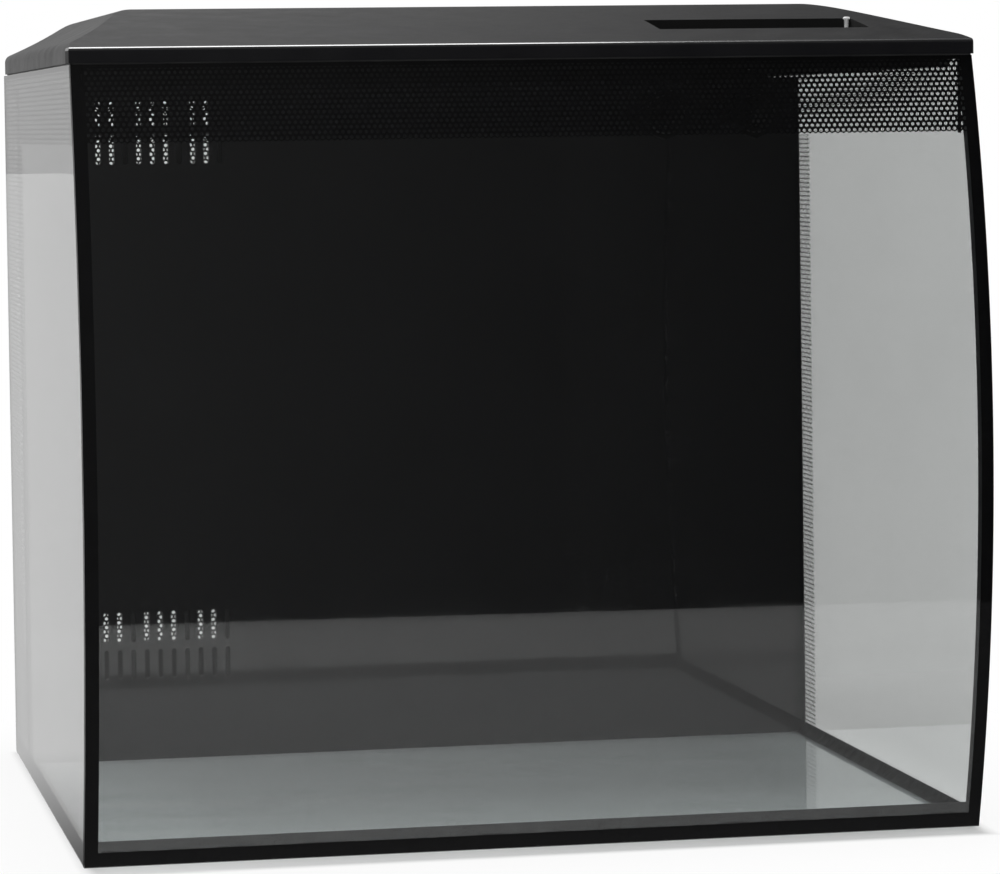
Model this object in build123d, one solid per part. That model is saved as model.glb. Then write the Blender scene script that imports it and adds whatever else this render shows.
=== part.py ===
from build123d import *
import math
import os

# Aquarium with a front pane bowed from top to bottom and a filter chamber behind a partition.
# Frame: origin at the bottom centre of the whole, +X to the right, +Y to the back, +Z up.
# All sizes are in millimetres.

# Glass tank
tank_width = 410.0
chord_depth = 363.0          # front corners to the back face
bow_rise = 27.0              # how far the front bows out past its corners
glass_height = 353.0
glass_thickness = 5.0
joint_gap = 0.8              # silicone between two panes
seam_fit = 0.2               # silicone to the bowed pane's inner face
floor_bead = 5.0
corner_bead = 4.0
front_corner_bead = 1.2      # the bow's corners are filled almost flush
bead_hollow = 0.38           # share of a bead's leg where its hollow face lies
front_bead_run = 2.0         # the front bead reaches this far into the sloping pane, trimmed there
seam_setback = 8.0           # corner seams stop this far below the rim
seat_gap = 0.3               # loose pieces stand this far from what carries them

# Partition and its intake slots
chamber_depth = 71.0         # partition's rear face to the back pane
partition_thickness = 4.0
partition_setback = 7.0      # below the top of the glass
partition_side_gap = 0.5
slot_width = 2.5
slot_height = 15.0
slot_pitch = 6.85
slot_count = 10
slot_row_gap = 4.0
first_slot_inset = 35.0      # left pane to the first slot
lower_slots_z = 46.0         # underside of the lower group
upper_slots_setback = 12.5   # top of the glass to the top of the upper group

# Filter chambers, from left to right; the pump has what is left
wall_thickness = 3.0
wall_setback = 16.0          # below the partition's top
intake_width = 100.0
foam_width = 78.0
media_width = 78.0
grille_slot_width = 4.0      # slots in the wall before the foam
grille_slot_height = 40.0
grille_columns = 5
grille_rows = 5
passage_height = 30.0
passage_inset = 10.0
weir_depth = 22.0
weir_teeth = 7
weir_tooth = 4.0

# Intake strainer
strainer_rib = 3.0
strainer_depth = 6.0
strainer_side_inset = 10.0
strainer_setback = 2.0       # below the partition's top
strainer_rail = 5.0
strainer_rail_count = 5
strainer_low_rail_z = 23.0
ribbed_slots = (2, 6, 9)     # slots that a rib stands behind

# Foam block and its lifter
foam_side_gap = 2.0
foam_wall_gap = 7.0
foam_height = 255.0
lifter_plate_thickness = 3.0
lifter_plate_inset = 5.0
lifter_stem_radius = 4.0
lifter_neck = 32.0           # stem showing above the foam
grip_width = 52.0
grip_height = 30.0
grip_thickness = 6.0
grip_rim = 6.0

# Media shelf and bags
shelf_height = 55.0
shelf_thickness = 3.0
shelf_inset = 1.0
shelf_leg_radius = 3.0
shelf_leg_inset = 9.0
shelf_hole_radius = 3.5
shelf_hole_pitch = 14.0
bag_side_gap = 1.5
bag_wall_gap = 4.0
carbon_bag_height = 85.0
ring_bag_height = 110.0
bag_corner = 9.0

# Circulation pump; the rotor lies along X
foot_height = 8.0
foot_radius = 7.0
foot_neck_radius = 3.5
motor_length = 46.0
motor_depth = 40.0
motor_height = 42.0
motor_edge = 3.0
volute_radius = 19.0
volute_length = 18.0
volute_wall = 2.5
volute_back = 2.0
spigot_radius = 6.5
rotor_radius = 8.0
rotor_gap = 0.6
rotor_length = 33.0
rotor_end_gap = 1.0
blade_radius = 14.0
blade_length = 9.0
blade_thickness = 1.6
blade_count = 6
hub_radius = 4.5
shaft_radius = 1.25
shaft_fit = 0.05
bush_radius = 3.5
bush_length = 4.0
cover_length = 14.0
cover_wall = 2.0
cover_slots = 12
cover_slot_width = 2.4
inlet_hole_radius = 3.2
inlet_hole_count = 6
cover_slot_depth = 7.0
gland_radius = 4.5
gland_height = 9.0
gland_taper = 1.0
gland_floor = 1.5
foot_rim = 1.2
foot_dish = 0.6
cord_bore_radius = 2.6

# Return hose, manifold and nozzles
hose_fit = 0.05
hose_wall = 2.0
spigot_wall = 1.8
spigot_length = 12.0
hose_side_inset = 69.0       # right pane to the hose's axis
nozzle_z_setback = 25.0      # below the top of the glass
nozzle_inset = 24.0          # right pane to the right nozzle's axis
nozzle_spacing = 48.0
manifold_radius = 9.0
manifold_wall = 2.5
socket_radius = 10.0
socket_bore = 7.0
socket_proud = 3.6           # how far a socket stands out of the partition
socket_hole_gap = 0.2
nut_radius = 13.0
nut_thickness = 3.0
nut_side_count = 8
nozzle_fit = 0.05
nozzle_stub = 14.0
nozzle_collar_radius = 9.5
nozzle_collar = 3.0
nozzle_ball = 8.0
nozzle_ball_sink = 4.8       # collar to the ball's centre
spout_root_radius = 6.8
nozzle_wall = 1.8
spout_length = 18.0
spout_tip_radius = 5.2
spout_angle = 38.0

# Lid shell
lid_side_overhang = 0.75
lid_front_overhang = 0.6
lid_shadow_gap = 0.6
lid_height = 27.8            # above the glass
lid_wall = 2.8
shoulder_rise = 6.8          # fascia's height
side_shoulder_rise = 8.5
ridge_setback = 141.0        # lid's front to the level top
ridge_inset = 36.5           # lid's side to the level top
front_crown = 1.5            # how far the front slope bellies out
side_dish = 1.1              # how far each side slope dishes in
ridge_round = 25.0
side_edge_round = 5.0
front_edge_round = 1.2
rear_corner_round = 18.0     # in plan
trim_thickness = 1.6
trim_return = 15.0
cable_notch_height = 9.0
pump_notch_width = 16.0
lamp_notch_width = 12.0
notch_side_inset = 50.0      # right pane to the pump cable's notch

# Lid frame and screws
frame_thickness = 2.5
frame_seat = 0.2
frame_fit = 0.4
frame_flange = 16.0
rim_drop = 5.4
rim_thickness = 2.0
rim_side_gap = 1.0
rim_front_gap = 4.0
rim_corner = 8.0
boss_radius = 3.6
screw_radius = 1.2
screw_fit = 0.1
screw_head_radius = 2.8
screw_head = 1.8
screw_bite = 7.0
screw_end_gap = 1.0
screw_rows = 3

# Feeding door and its well in the front slope
well_length = 99.0
well_depth = 32.0
well_side_inset = 38.75      # lid's right side to the well
well_setback = 36.0          # lid's front to the well
well_wall = 2.0
door_sink = 0.8              # door's top below the slope at the well's front edge
door_thickness = 2.5
door_gap = 0.5
door_clip_space = 4.6
ledge_width = 2.5
ledge_thickness = 2.0
hinge_inset = 3.2
knuckle_rise = 1.2           # knuckle above the door's top
knuckle_radius = 2.3
pin_radius = 0.9
pin_fit = 0.06
pull_length = 30.0
pull_height = 0.8
pull_width = 1.5
clip_width = 1.5
clip_height = 5.3
clip_thickness = 0.8
clip_cap_width = 3.4
clip_cap_height = 1.2
clip_proud = 0.7
clip_side_gap = 0.2

# Lamp
lamp_side_gap = 2.25         # ridge line to the end of an ear
lamp_depth = 60.0
lamp_height = 11.0
lamp_wall = 2.0
lamp_drop = 2.4              # lid's ceiling to the lamp's top
lamp_ridge_gap = 8.0         # ridge to the lamp's front
lens_thickness = 2.0
lens_fit = 0.15
gasket_thickness = 1.2
gasket_width = 2.5
board_thickness = 1.6
board_inset = 4.0
chip_size = 3.0
chip_height = 0.9
chip_rows = 3
chip_pitch = 18.0
chip_margin = 15.0
ear_length = 12.0
ear_thickness = 2.0
ear_hole_spread = 36.0
lamp_screw_bite = 2.6
jack_radius = 4.5
jack_neck_radius = 3.5
jack_pin_setback = 1.0
jack_length = 8.0
jack_bore = 2.8
jack_pin = 0.7

# How far a cut runs past a face
past = 1.0

# Worked out from the sizes above
total_depth = chord_depth + bow_rise
back_y = total_depth / 2
corner_y = back_y - chord_depth
mid_z = glass_height / 2
bow_radius = (mid_z ** 2 + bow_rise ** 2) / (2 * bow_rise)
bow_y = bow_radius - total_depth / 2
half_width = tank_width / 2
inner_x = half_width - glass_thickness
inner_back_y = back_y - glass_thickness
inner_bow = bow_radius - glass_thickness
seam_bow = inner_bow - seam_fit
floor_z = glass_thickness
partition_rear_y = inner_back_y - chamber_depth
partition_y = partition_rear_y - partition_thickness
partition_top = glass_height - partition_setback
chamber_y = (partition_rear_y + inner_back_y) / 2
along = (1, 0, 0)
rearward = (0, 1, 0)
up = (0, 0, 1)

os.makedirs("parts", exist_ok=True)
parts_made = []


def save(name, shape):
    """Write one piece, or one group of like pieces, to its own file."""
    solids = list(shape.solids())
    whole = solids[0] if len(solids) == 1 else Compound(children=solids)
    export_step(whole, f"parts/{name}.step")
    parts_made.append(name)


def block(low_x, high_x, low_y, high_y, low_z, high_z):
    """Box between two corners."""
    middle = Pos((low_x + high_x) / 2, (low_y + high_y) / 2, (low_z + high_z) / 2)
    return middle * Box(high_x - low_x, high_y - low_y, high_z - low_z)


def side_block(side, inner, outer, low_y, high_y, low_z, high_z):
    """Box on the left (-1) or right (+1), between two distances from the middle."""
    low_x, high_x = sorted((side * inner, side * outer))
    return block(low_x, high_x, low_y, high_y, low_z, high_z)


def slab(low_z, high_z):
    """Everything between two heights."""
    return block(-tank_width, tank_width, -total_depth, total_depth, low_z, high_z)


def rod(start, direction, radius, length):
    """Round bar from a point, along a direction."""
    return extrude(Plane(origin=start, z_dir=direction) * Circle(radius), amount=length)


def bow_line_y(radius, z):
    """Where a bowed face of this radius lies at a height."""
    return bow_y - math.sqrt(radius ** 2 - (z - mid_z) ** 2)


def bowed_profile(radius, rear_y, low_z, high_z):
    """Side view of the space behind a bowed face."""
    front_y = bow_y - radius - past
    middle = Pos((front_y + rear_y) / 2, (low_z + high_z) / 2)
    strip = middle * Rectangle(rear_y - front_y, high_z - low_z)
    return Plane.YZ * (strip & Pos(bow_y, mid_z) * Circle(radius))


def bowed_skin(outer_radius, inner_radius):
    """Side view of a bowed layer, over the whole height of the glass."""
    rear_y = corner_y + 4 * glass_thickness
    behind = bowed_profile(inner_radius, rear_y + past, -past, glass_height + past)
    return bowed_profile(outer_radius, rear_y, 0, glass_height) - behind


def across(profile, low_x, high_x):
    """Side view drawn out from one x to another."""
    return extrude(Pos(low_x, 0, 0) * profile, amount=high_x - low_x, dir=(1, 0, 0))


def bead_profile(leg):
    """Tooled silicone fillet: two legs and a hollow face."""
    hollow = leg * bead_hollow
    face_arc = ThreePointArc((leg, 0), (hollow, hollow), (0, leg))
    return make_face([Line((0, 0), (leg, 0)), face_arc, Line((0, leg), (0, 0))])


def flat_bead_profile(leg):
    """The same fillet with its hollow in two flats, for a bead that follows the bow."""
    hollow = leg * bead_hollow
    flats = [Line((leg, 0), (hollow, hollow)), Line((hollow, hollow), (0, leg))]
    return make_face([Line((0, 0), (leg, 0)), *flats, Line((0, leg), (0, 0))])


def bead(start, end, first_leg, second_leg, leg):
    """Bead along a straight inside corner."""
    first, second = Vector(*first_leg), Vector(*second_leg)
    plane = Plane(origin=start, x_dir=first, z_dir=first.cross(second))
    length = (Vector(*end) - Vector(*start)).dot(plane.z_dir)
    return extrude(plane * bead_profile(leg), amount=length)


# Panes of glass
save("glass_front", across(bowed_skin(bow_radius, inner_bow), -half_width, half_width))

side_profile = bowed_profile(inner_bow - joint_gap, inner_back_y - joint_gap, 0, glass_height)
save("glass_left", across(side_profile, -half_width, -inner_x))
save("glass_right", across(side_profile, inner_x, half_width))
save("glass_back", block(-half_width, half_width, inner_back_y, back_y, 0, glass_height))

floor_profile = bowed_profile(inner_bow - joint_gap, inner_back_y - joint_gap, 0, glass_thickness)
glass_bottom = across(floor_profile, -inner_x + joint_gap, inner_x - joint_gap)
save("glass_bottom", glass_bottom)

# Silicone seams
cavity = across(bowed_profile(seam_bow, inner_back_y, 0, glass_height), -inner_x, inner_x)
floor_seam = (cavity & slab(0, floor_z)) - glass_bottom
for side in (-1, 1):
    start = (side * inner_x, corner_y, floor_z)
    end = (side * inner_x, inner_back_y, floor_z)
    floor_seam += bead(start, end, (-side, 0, 0), (0, 0, 1), floor_bead) & cavity
start = (-inner_x, inner_back_y, floor_z)
end = (inner_x, inner_back_y, floor_z)
floor_seam += bead(start, end, (0, -1, 0), (0, 0, 1), floor_bead)
bead_front_y = bow_line_y(seam_bow, floor_z) - front_bead_run
start = (-inner_x, bead_front_y, floor_z)
end = (inner_x, bead_front_y, floor_z)
floor_seam += bead(start, end, (0, 1, 0), (0, 0, 1), floor_bead + front_bead_run) & cavity
save("silicone_floor_seam", floor_seam)

seam_top = glass_height - seam_setback
bow_axis = Axis((0, bow_y, mid_z), (1, 0, 0))
bow_angle = math.degrees(math.asin(mid_z / seam_bow)) + past
bead_room = (cavity & slab(floor_z, seam_top)) - floor_seam
front_seams = []
back_seams = []
for side in (-1, 1):
    low_x, high_x = sorted((side * inner_x, side * half_width))
    gap_fill = across(bowed_skin(seam_bow, inner_bow - joint_gap), low_x, high_x)
    corner_point = (side * inner_x, bow_y - seam_bow, mid_z)
    corner = Plane(origin=corner_point, x_dir=(-side, 0, 0), z_dir=(0, 0, -side))
    start_face = (corner * flat_bead_profile(front_corner_bead)).rotate(bow_axis, -bow_angle)
    curved_bead = revolve(start_face, axis=bow_axis, revolution_arc=2 * bow_angle)
    front_seams += [gap_fill, curved_bead & bead_room]
    strip = block(low_x, high_x, inner_back_y - joint_gap, inner_back_y, 0, glass_height)
    start = (side * inner_x, inner_back_y, floor_z)
    end = (side * inner_x, inner_back_y, seam_top)
    back_seams.append(strip + (bead(start, end, (-side, 0, 0), (0, -1, 0), corner_bead) & bead_room))
save("silicone_front_seams", Compound(children=front_seams))
save("silicone_back_seams", Compound(children=back_seams))


# Partition
def slot_x(index):
    """Middle of one slot, counted from the left."""
    return -inner_x + first_slot_inset + index * slot_pitch


def slot_row(low_z):
    """One row of intake slots with round ends."""
    outline = SlotOverall(slot_height, slot_width, rotation=90)
    cutter = Rot(90, 0, 0) * extrude(outline, amount=2 * partition_thickness, both=True)
    middle_z = low_z + slot_height / 2
    return [Pos(slot_x(index), partition_y, middle_z) * cutter for index in range(slot_count)]


group_height = 2 * slot_height + slot_row_gap
upper_slots_z = glass_height - upper_slots_setback - group_height
nozzle_z = glass_height - nozzle_z_setback
nozzle_xs = [inner_x - nozzle_inset - nozzle_spacing, inner_x - nozzle_inset]
partition_half_x = inner_x - partition_side_gap
partition = block(-partition_half_x, partition_half_x, partition_y, partition_rear_y, floor_z, partition_top)
partition -= floor_seam
for group_z in (lower_slots_z, upper_slots_z):
    for row in range(2):
        partition -= slot_row(group_z + row * (slot_height + slot_row_gap))
socket_hole = rod((0, partition_y - past, nozzle_z), rearward, socket_radius + socket_hole_gap,
                  partition_thickness + 2 * past)
partition -= [Pos(x, 0, 0) * socket_hole for x in nozzle_xs]
save("partition", partition)

partition_seams = []
for side in (-1, 1):
    strip = side_block(side, partition_half_x, inner_x, partition_y, partition_rear_y, floor_z, partition_top)
    start = (side * inner_x, partition_rear_y, floor_z)
    end = (side * inner_x, partition_rear_y, seam_top)
    partition_seams.append((strip + bead(start, end, (-side, 0, 0), (0, 1, 0), corner_bead)) - floor_seam)
save("silicone_partition_seams", Compound(children=partition_seams))

# Walls between the chambers
foam_wall_x = -inner_x + intake_width
media_wall_x = foam_wall_x + wall_thickness + foam_width
pump_wall_x = media_wall_x + wall_thickness + media_width
wall_front_y = partition_rear_y + seat_gap
wall_back_y = inner_back_y - seat_gap
wall_depth = wall_back_y - wall_front_y
wall_top = partition_top - wall_setback


def chamber_wall(x):
    """Plain wall across the filter chamber."""
    return block(x, x + wall_thickness, wall_front_y, wall_back_y, floor_z, wall_top) - floor_seam


def wall_cut(wall_x, y, z, width, height):
    """Square cutter through a wall, centred on a point of it."""
    return Pos(wall_x + wall_thickness / 2, y, z) * Box(wall_thickness + 2 * past, width, height)


foam_wall = chamber_wall(foam_wall_x)
column_pitch = wall_depth / (grille_columns + 1)
row_pitch = (wall_top - floor_z) / grille_rows
for column in range(grille_columns):
    for row in range(grille_rows):
        y = wall_front_y + column_pitch * (column + 1)
        z = floor_z + row_pitch * (row + 0.5)
        foam_wall -= wall_cut(foam_wall_x, y, z, grille_slot_width, grille_slot_height)
save("foam_chamber_wall", foam_wall)

passage_width = wall_depth - 2 * passage_inset
passage = wall_cut(media_wall_x, chamber_y, floor_z, passage_width, 2 * passage_height)
save("media_chamber_wall", chamber_wall(media_wall_x) - passage)

pump_wall = chamber_wall(pump_wall_x)
tooth_pitch = wall_depth / (weir_teeth + 1)
for index in range(weir_teeth):
    y = wall_front_y + tooth_pitch * (index + 1)
    pump_wall -= wall_cut(pump_wall_x, y, wall_top, tooth_pitch - weir_tooth, 2 * weir_depth)
save("pump_chamber_wall", pump_wall)

# Intake strainer, a ladder of ribs and rails behind the slots
strainer_top = partition_top - strainer_setback
strainer_front_y = partition_rear_y + seat_gap
strainer_back_y = strainer_front_y + strainer_depth
rib_xs = [-inner_x + strainer_side_inset] + [slot_x(index) for index in ribbed_slots]
low_span_z = lower_slots_z + group_height
span_pitch = (upper_slots_z - strainer_rail - low_span_z) / (strainer_rail_count - 1)
rail_zs = [strainer_low_rail_z, strainer_top - strainer_rail]
rail_zs += [low_span_z + span_pitch * index for index in range(1, strainer_rail_count - 1)]
half_rib = strainer_rib / 2
rib = block(-half_rib, half_rib, strainer_front_y, strainer_back_y, floor_z + seat_gap, strainer_top)
rail = block(rib_xs[0], rib_xs[-1], strainer_back_y - strainer_depth / 2, strainer_back_y, 0, strainer_rail)
ribs = [Pos(x, 0, 0) * rib for x in rib_xs]
save("intake_strainer", ribs[0] + ribs[1:] + [Pos(0, 0, z) * rail for z in rail_zs])

# Foam block and its lifter
foam_x = (foam_wall_x + wall_thickness + media_wall_x) / 2
foam_half_x = foam_width / 2 - foam_side_gap
foam_half_y = chamber_depth / 2 - foam_wall_gap
plate_z = floor_z + seat_gap
foam_z = plate_z + lifter_plate_thickness
foam_top = foam_z + foam_height
foam = Pos(foam_x, chamber_y, foam_z + foam_height / 2) * Box(2 * foam_half_x, 2 * foam_half_y, foam_height)
foam -= rod((foam_x, chamber_y, foam_z - past), up, lifter_stem_radius + seat_gap, foam_height + 2 * past)
save("foam_block", foam)

grip_z = foam_top + lifter_neck
plate_x = 2 * (foam_half_x - lifter_plate_inset)
plate_y = 2 * (foam_half_y - lifter_plate_inset)
lifter = Pos(foam_x, chamber_y, (plate_z + foam_z) / 2) * Box(plate_x, plate_y, lifter_plate_thickness)
lifter += rod((foam_x, chamber_y, foam_z - past), up, lifter_stem_radius, grip_z - foam_z + 2 * past)
grip_face = RectangleRounded(grip_width, grip_height, grip_rim)
grip_face -= RectangleRounded(grip_width - 2 * grip_rim, grip_height - 2 * grip_rim, grip_rim / 2)
grip = extrude(Plane.XZ * grip_face, amount=grip_thickness / 2, both=True)
lifter += Pos(foam_x, chamber_y, grip_z + grip_height / 2) * grip
save("foam_lifter", lifter)

# Media shelf with the two bags on it
media_x = (media_wall_x + wall_thickness + pump_wall_x) / 2
shelf_half_x = media_width / 2 - shelf_inset
shelf_half_y = chamber_depth / 2 - shelf_inset
shelf_z = floor_z + shelf_height
shelf_plate = Box(2 * shelf_half_x, 2 * shelf_half_y, shelf_thickness)
shelf = Pos(media_x, chamber_y, shelf_z + shelf_thickness / 2) * shelf_plate
hole_columns = int((2 * shelf_half_x - 2 * shelf_leg_inset) / shelf_hole_pitch)
hole_rows = int((2 * shelf_half_y - 2 * shelf_leg_inset) / shelf_hole_pitch)
for place in GridLocations(shelf_hole_pitch, shelf_hole_pitch, hole_columns, hole_rows):
    x, y, _ = place.position
    start = (media_x + x, chamber_y + y, shelf_z - past)
    shelf -= rod(start, up, shelf_hole_radius, shelf_thickness + 2 * past)
leg_x = shelf_half_x - shelf_leg_inset
leg_y = shelf_half_y - shelf_leg_inset
for place in GridLocations(2 * leg_x, 2 * leg_y, 2, 2):
    x, y, _ = place.position
    foot = (media_x + x, chamber_y + y, floor_z + seat_gap)
    shelf += rod(foot, up, shelf_leg_radius, shelf_height - seat_gap)
save("media_shelf", shelf)


def bag(low_z, height):
    """Plain closed form of a filled bag."""
    body = Box(media_width - 2 * bag_side_gap, chamber_depth - 2 * bag_wall_gap, height)
    return Pos(media_x, chamber_y, low_z + height / 2) * fillet(body.edges(), bag_corner)


carbon_z = shelf_z + shelf_thickness + seat_gap
ring_z = carbon_z + carbon_bag_height + seat_gap
save("carbon_bag", bag(carbon_z, carbon_bag_height))
save("ceramic_ring_bag", bag(ring_z, ring_bag_height))

# Pump
hose_x = inner_x - hose_side_inset
motor_bottom = floor_z + foot_height
motor_top = motor_bottom + motor_height
rotor_z = (motor_bottom + motor_top) / 2
volute_x = hose_x - volute_length / 2
motor_x = hose_x + volute_length / 2
motor_end_x = motor_x + motor_length
pocket_end = motor_x - volute_back
well_end = pocket_end + rotor_length
bush_end = well_end + bush_length
spigot_top = rotor_z + volute_radius + spigot_length


def rotor_rod(start_x, end_x, radius):
    """Round bar on the rotor's axis."""
    return rod((start_x, chamber_y, rotor_z), along, radius, end_x - start_x)


def around_rotor(shape, count):
    """Copies of a shape that stands on the rotor's axis, turned about it."""
    return [Pos(0, chamber_y, rotor_z) * Rot(360 / count * index, 0, 0) * shape for index in range(count)]


motor = Pos((motor_x + motor_end_x) / 2, chamber_y, rotor_z) * Box(motor_length, motor_depth, motor_height)
housing = fillet(motor.edges(), motor_edge) + rotor_rod(volute_x, motor_x + motor_edge, volute_radius)
housing += rod((hose_x, chamber_y, rotor_z), up, spigot_radius, spigot_top - rotor_z)
housing -= rotor_rod(volute_x - past, pocket_end, volute_radius - volute_wall)
housing -= rotor_rod(pocket_end - past, well_end, rotor_radius + rotor_gap)
housing -= rotor_rod(pocket_end, bush_end, bush_radius)
housing -= rod((hose_x, chamber_y, rotor_z), up, spigot_radius - spigot_wall, spigot_top - rotor_z + past)
save("pump_housing", housing)

cover_x = volute_x - cover_length
bush_x = volute_x - bush_length
hub_radius_out = bush_radius + cover_wall
cover = rotor_rod(cover_x, volute_x, volute_radius)
cover -= rotor_rod(cover_x + cover_wall, volute_x - cover_wall, volute_radius - cover_wall)
cover += rotor_rod(cover_x + cover_wall, volute_x, hub_radius_out)
cover -= rotor_rod(bush_x, volute_x + past, bush_radius)
slot_length = cover_length - 3 * cover_wall
inlet_slot = Pos(cover_x + slot_length / 2, 0, volute_radius)
inlet_slot *= Box(slot_length, cover_slot_width, 2 * cover_slot_depth)
cover -= around_rotor(inlet_slot, cover_slots)
inlet_ring = (hub_radius_out + volute_radius - cover_wall) / 2
inlet_start = (volute_x - cover_wall - past, 0, inlet_ring)
inlet_hole = rod(inlet_start, along, inlet_hole_radius, cover_wall + 2 * past)
cover -= around_rotor(inlet_hole, inlet_hole_count)
save("pump_cover", cover)

magnet_x = pocket_end - rotor_end_gap
blade_x = magnet_x - blade_length
impeller = rotor_rod(magnet_x, magnet_x + rotor_length, rotor_radius)
impeller += rotor_rod(blade_x, magnet_x + past, hub_radius)
blade_middle = Pos(blade_x + blade_length / 2, 0, blade_radius / 2)
blade = blade_middle * Box(blade_length, blade_thickness, blade_radius)
impeller += around_rotor(blade, blade_count)
impeller -= rotor_rod(blade_x - past, magnet_x + rotor_length + past, shaft_radius + shaft_fit)
save("pump_impeller", impeller)

save("pump_shaft", rotor_rod(bush_x, bush_end, shaft_radius))
bushes = []
for x in (bush_x, well_end):
    bush_bore = rotor_rod(x - past, x + bush_length + past, shaft_radius)
    bushes.append(rotor_rod(x, x + bush_length, bush_radius) - bush_bore)
save("pump_shaft_bushes", Compound(children=bushes))

skirt_height = foot_height / 2
foot = Pos(0, 0, skirt_height / 2) * Cone(foot_radius, foot_neck_radius, skirt_height)
foot += rod((0, 0, skirt_height), up, foot_neck_radius, foot_height - skirt_height)
foot -= Pos(0, 0, skirt_height / 4) * Cone(foot_radius - foot_rim, foot_dish, skirt_height / 2)
foot_reach_x = motor_length - 2 * (foot_radius + motor_edge)
foot_reach_y = motor_depth - 2 * foot_radius
feet_middle = Pos((motor_x + motor_end_x) / 2, chamber_y, floor_z)
feet = [feet_middle * place * foot for place in GridLocations(foot_reach_x, foot_reach_y, 2, 2)]
save("pump_suction_feet", Compound(children=feet))

gland_x = motor_end_x - gland_radius - motor_edge
gland = rod((gland_x, chamber_y, motor_top), up, gland_radius, gland_height / 2)
gland_tip = Cone(gland_radius, gland_radius - gland_taper, gland_height / 2)
gland += Pos(gland_x, chamber_y, motor_top + gland_height * 3 / 4) * gland_tip
gland -= rod((gland_x, chamber_y, motor_top + gland_floor), up, cord_bore_radius, gland_height)
save("pump_cable_gland", gland)

# Hose and manifold
hose_bore = spigot_radius + hose_fit
manifold_low = nozzle_z - max(manifold_radius, socket_radius) - spigot_length
hose_low = spigot_top - spigot_length + seat_gap
hose_top = manifold_low + spigot_length - seat_gap
hose = rod((hose_x, chamber_y, hose_low), up, hose_bore + hose_wall, hose_top - hose_low)
hose -= rod((hose_x, chamber_y, hose_low - past), up, hose_bore, hose_top - hose_low + 2 * past)
save("return_hose", hose)

manifold_left = min(nozzle_xs[0], hose_x) - manifold_radius
manifold_right = nozzle_xs[1] + manifold_radius
manifold_length = manifold_right - manifold_left
socket_front_y = partition_y - socket_proud
socket_length = chamber_y - socket_front_y
manifold = rod((manifold_left, chamber_y, nozzle_z), along, manifold_radius, manifold_length)
manifold += rod((hose_x, chamber_y, manifold_low), up, spigot_radius, nozzle_z - manifold_low)
for x in nozzle_xs:
    manifold += rod((x, socket_front_y, nozzle_z), rearward, socket_radius, socket_length)
bore_start = (manifold_left + manifold_wall, chamber_y, nozzle_z)
manifold -= rod(bore_start, along, manifold_radius - manifold_wall, manifold_length - 2 * manifold_wall)
inlet_start = (hose_x, chamber_y, manifold_low - past)
manifold -= rod(inlet_start, up, spigot_radius - spigot_wall, nozzle_z - manifold_low + past)
for x in nozzle_xs:
    manifold -= rod((x, socket_front_y - past, nozzle_z), rearward, socket_bore, socket_length + past)
save("return_manifold", manifold)

nuts = []
for x in nozzle_xs:
    face = Plane(origin=(x, partition_y, nozzle_z), z_dir=(0, -1, 0)) * RegularPolygon(nut_radius, nut_side_count)
    bore = rod((x, partition_y + past, nozzle_z), (0, -1, 0), socket_radius, nut_thickness + 2 * past)
    nuts.append(extrude(face, amount=nut_thickness) - bore)
save("nozzle_locknuts", Compound(children=nuts))


def nozzle(x):
    """Stub in the socket, collar, ball and a spout that leans to the left."""
    collar_y = socket_front_y - seat_gap - nozzle_collar
    ball = (x, collar_y - nozzle_ball_sink, nozzle_z)
    tilt = math.radians(spout_angle)
    aim = (-math.sin(tilt), -math.cos(tilt), 0)
    stub_radius = socket_bore - nozzle_fit
    stub_length = nozzle_collar + seat_gap + nozzle_stub
    body = rod((x, collar_y, nozzle_z), rearward, nozzle_collar_radius, nozzle_collar)
    body += rod((x, collar_y, nozzle_z), rearward, stub_radius, stub_length)
    body += Pos(*ball) * Sphere(nozzle_ball)
    root = Plane(origin=ball, x_dir=up, z_dir=aim)
    body += loft([root * Circle(spout_root_radius), root.offset(spout_length) * Circle(spout_tip_radius)])
    water_radius = spout_tip_radius - nozzle_wall
    body -= rod(ball, rearward, stub_radius - nozzle_wall, nozzle_ball_sink + stub_length + past)
    body -= rod(ball, aim, water_radius, spout_length + past)
    return body - Pos(*ball) * Sphere(stub_radius - nozzle_wall)


save("nozzle_left", nozzle(nozzle_xs[0]))
save("nozzle_right", nozzle(nozzle_xs[1]))

# Lid shell: a front-to-back profile and a side-to-side profile, drawn out and crossed
lid_half_x = tank_width / 2 + lid_side_overhang
lid_front_y = corner_y - lid_front_overhang
lid_base_z = glass_height + lid_shadow_gap
lid_top_z = glass_height + lid_height
front_shoulder_z = lid_base_z + shoulder_rise
side_shoulder_z = lid_base_z + side_shoulder_rise
ridge_x = lid_half_x - ridge_inset
ridge_y = lid_front_y + ridge_setback
skirt_z = lid_base_z - lid_height


def near(sketch, x, y):
    """Corner of a sketch that lies closest to a point."""
    return sketch.vertices().sort_by_distance((x, y, 0))[0]


def lid_plan(inset, low_z, high_z):
    """Prism on the lid's plan with its rear corners round, taken in by an inset."""
    face = RectangleRounded(2 * (lid_half_x - inset), 2 * (total_depth - inset), rear_corner_round - inset)
    return Pos(0, back_y - total_depth, low_z) * extrude(face, amount=high_z - low_z)


def slope_z(setback):
    """Height of the front slope at a distance from the lid's front."""
    share = setback / ridge_setback
    belly = 4 * front_crown * share * (1 - share)
    return front_shoulder_z + share * (lid_top_z - front_shoulder_z) + belly


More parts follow.
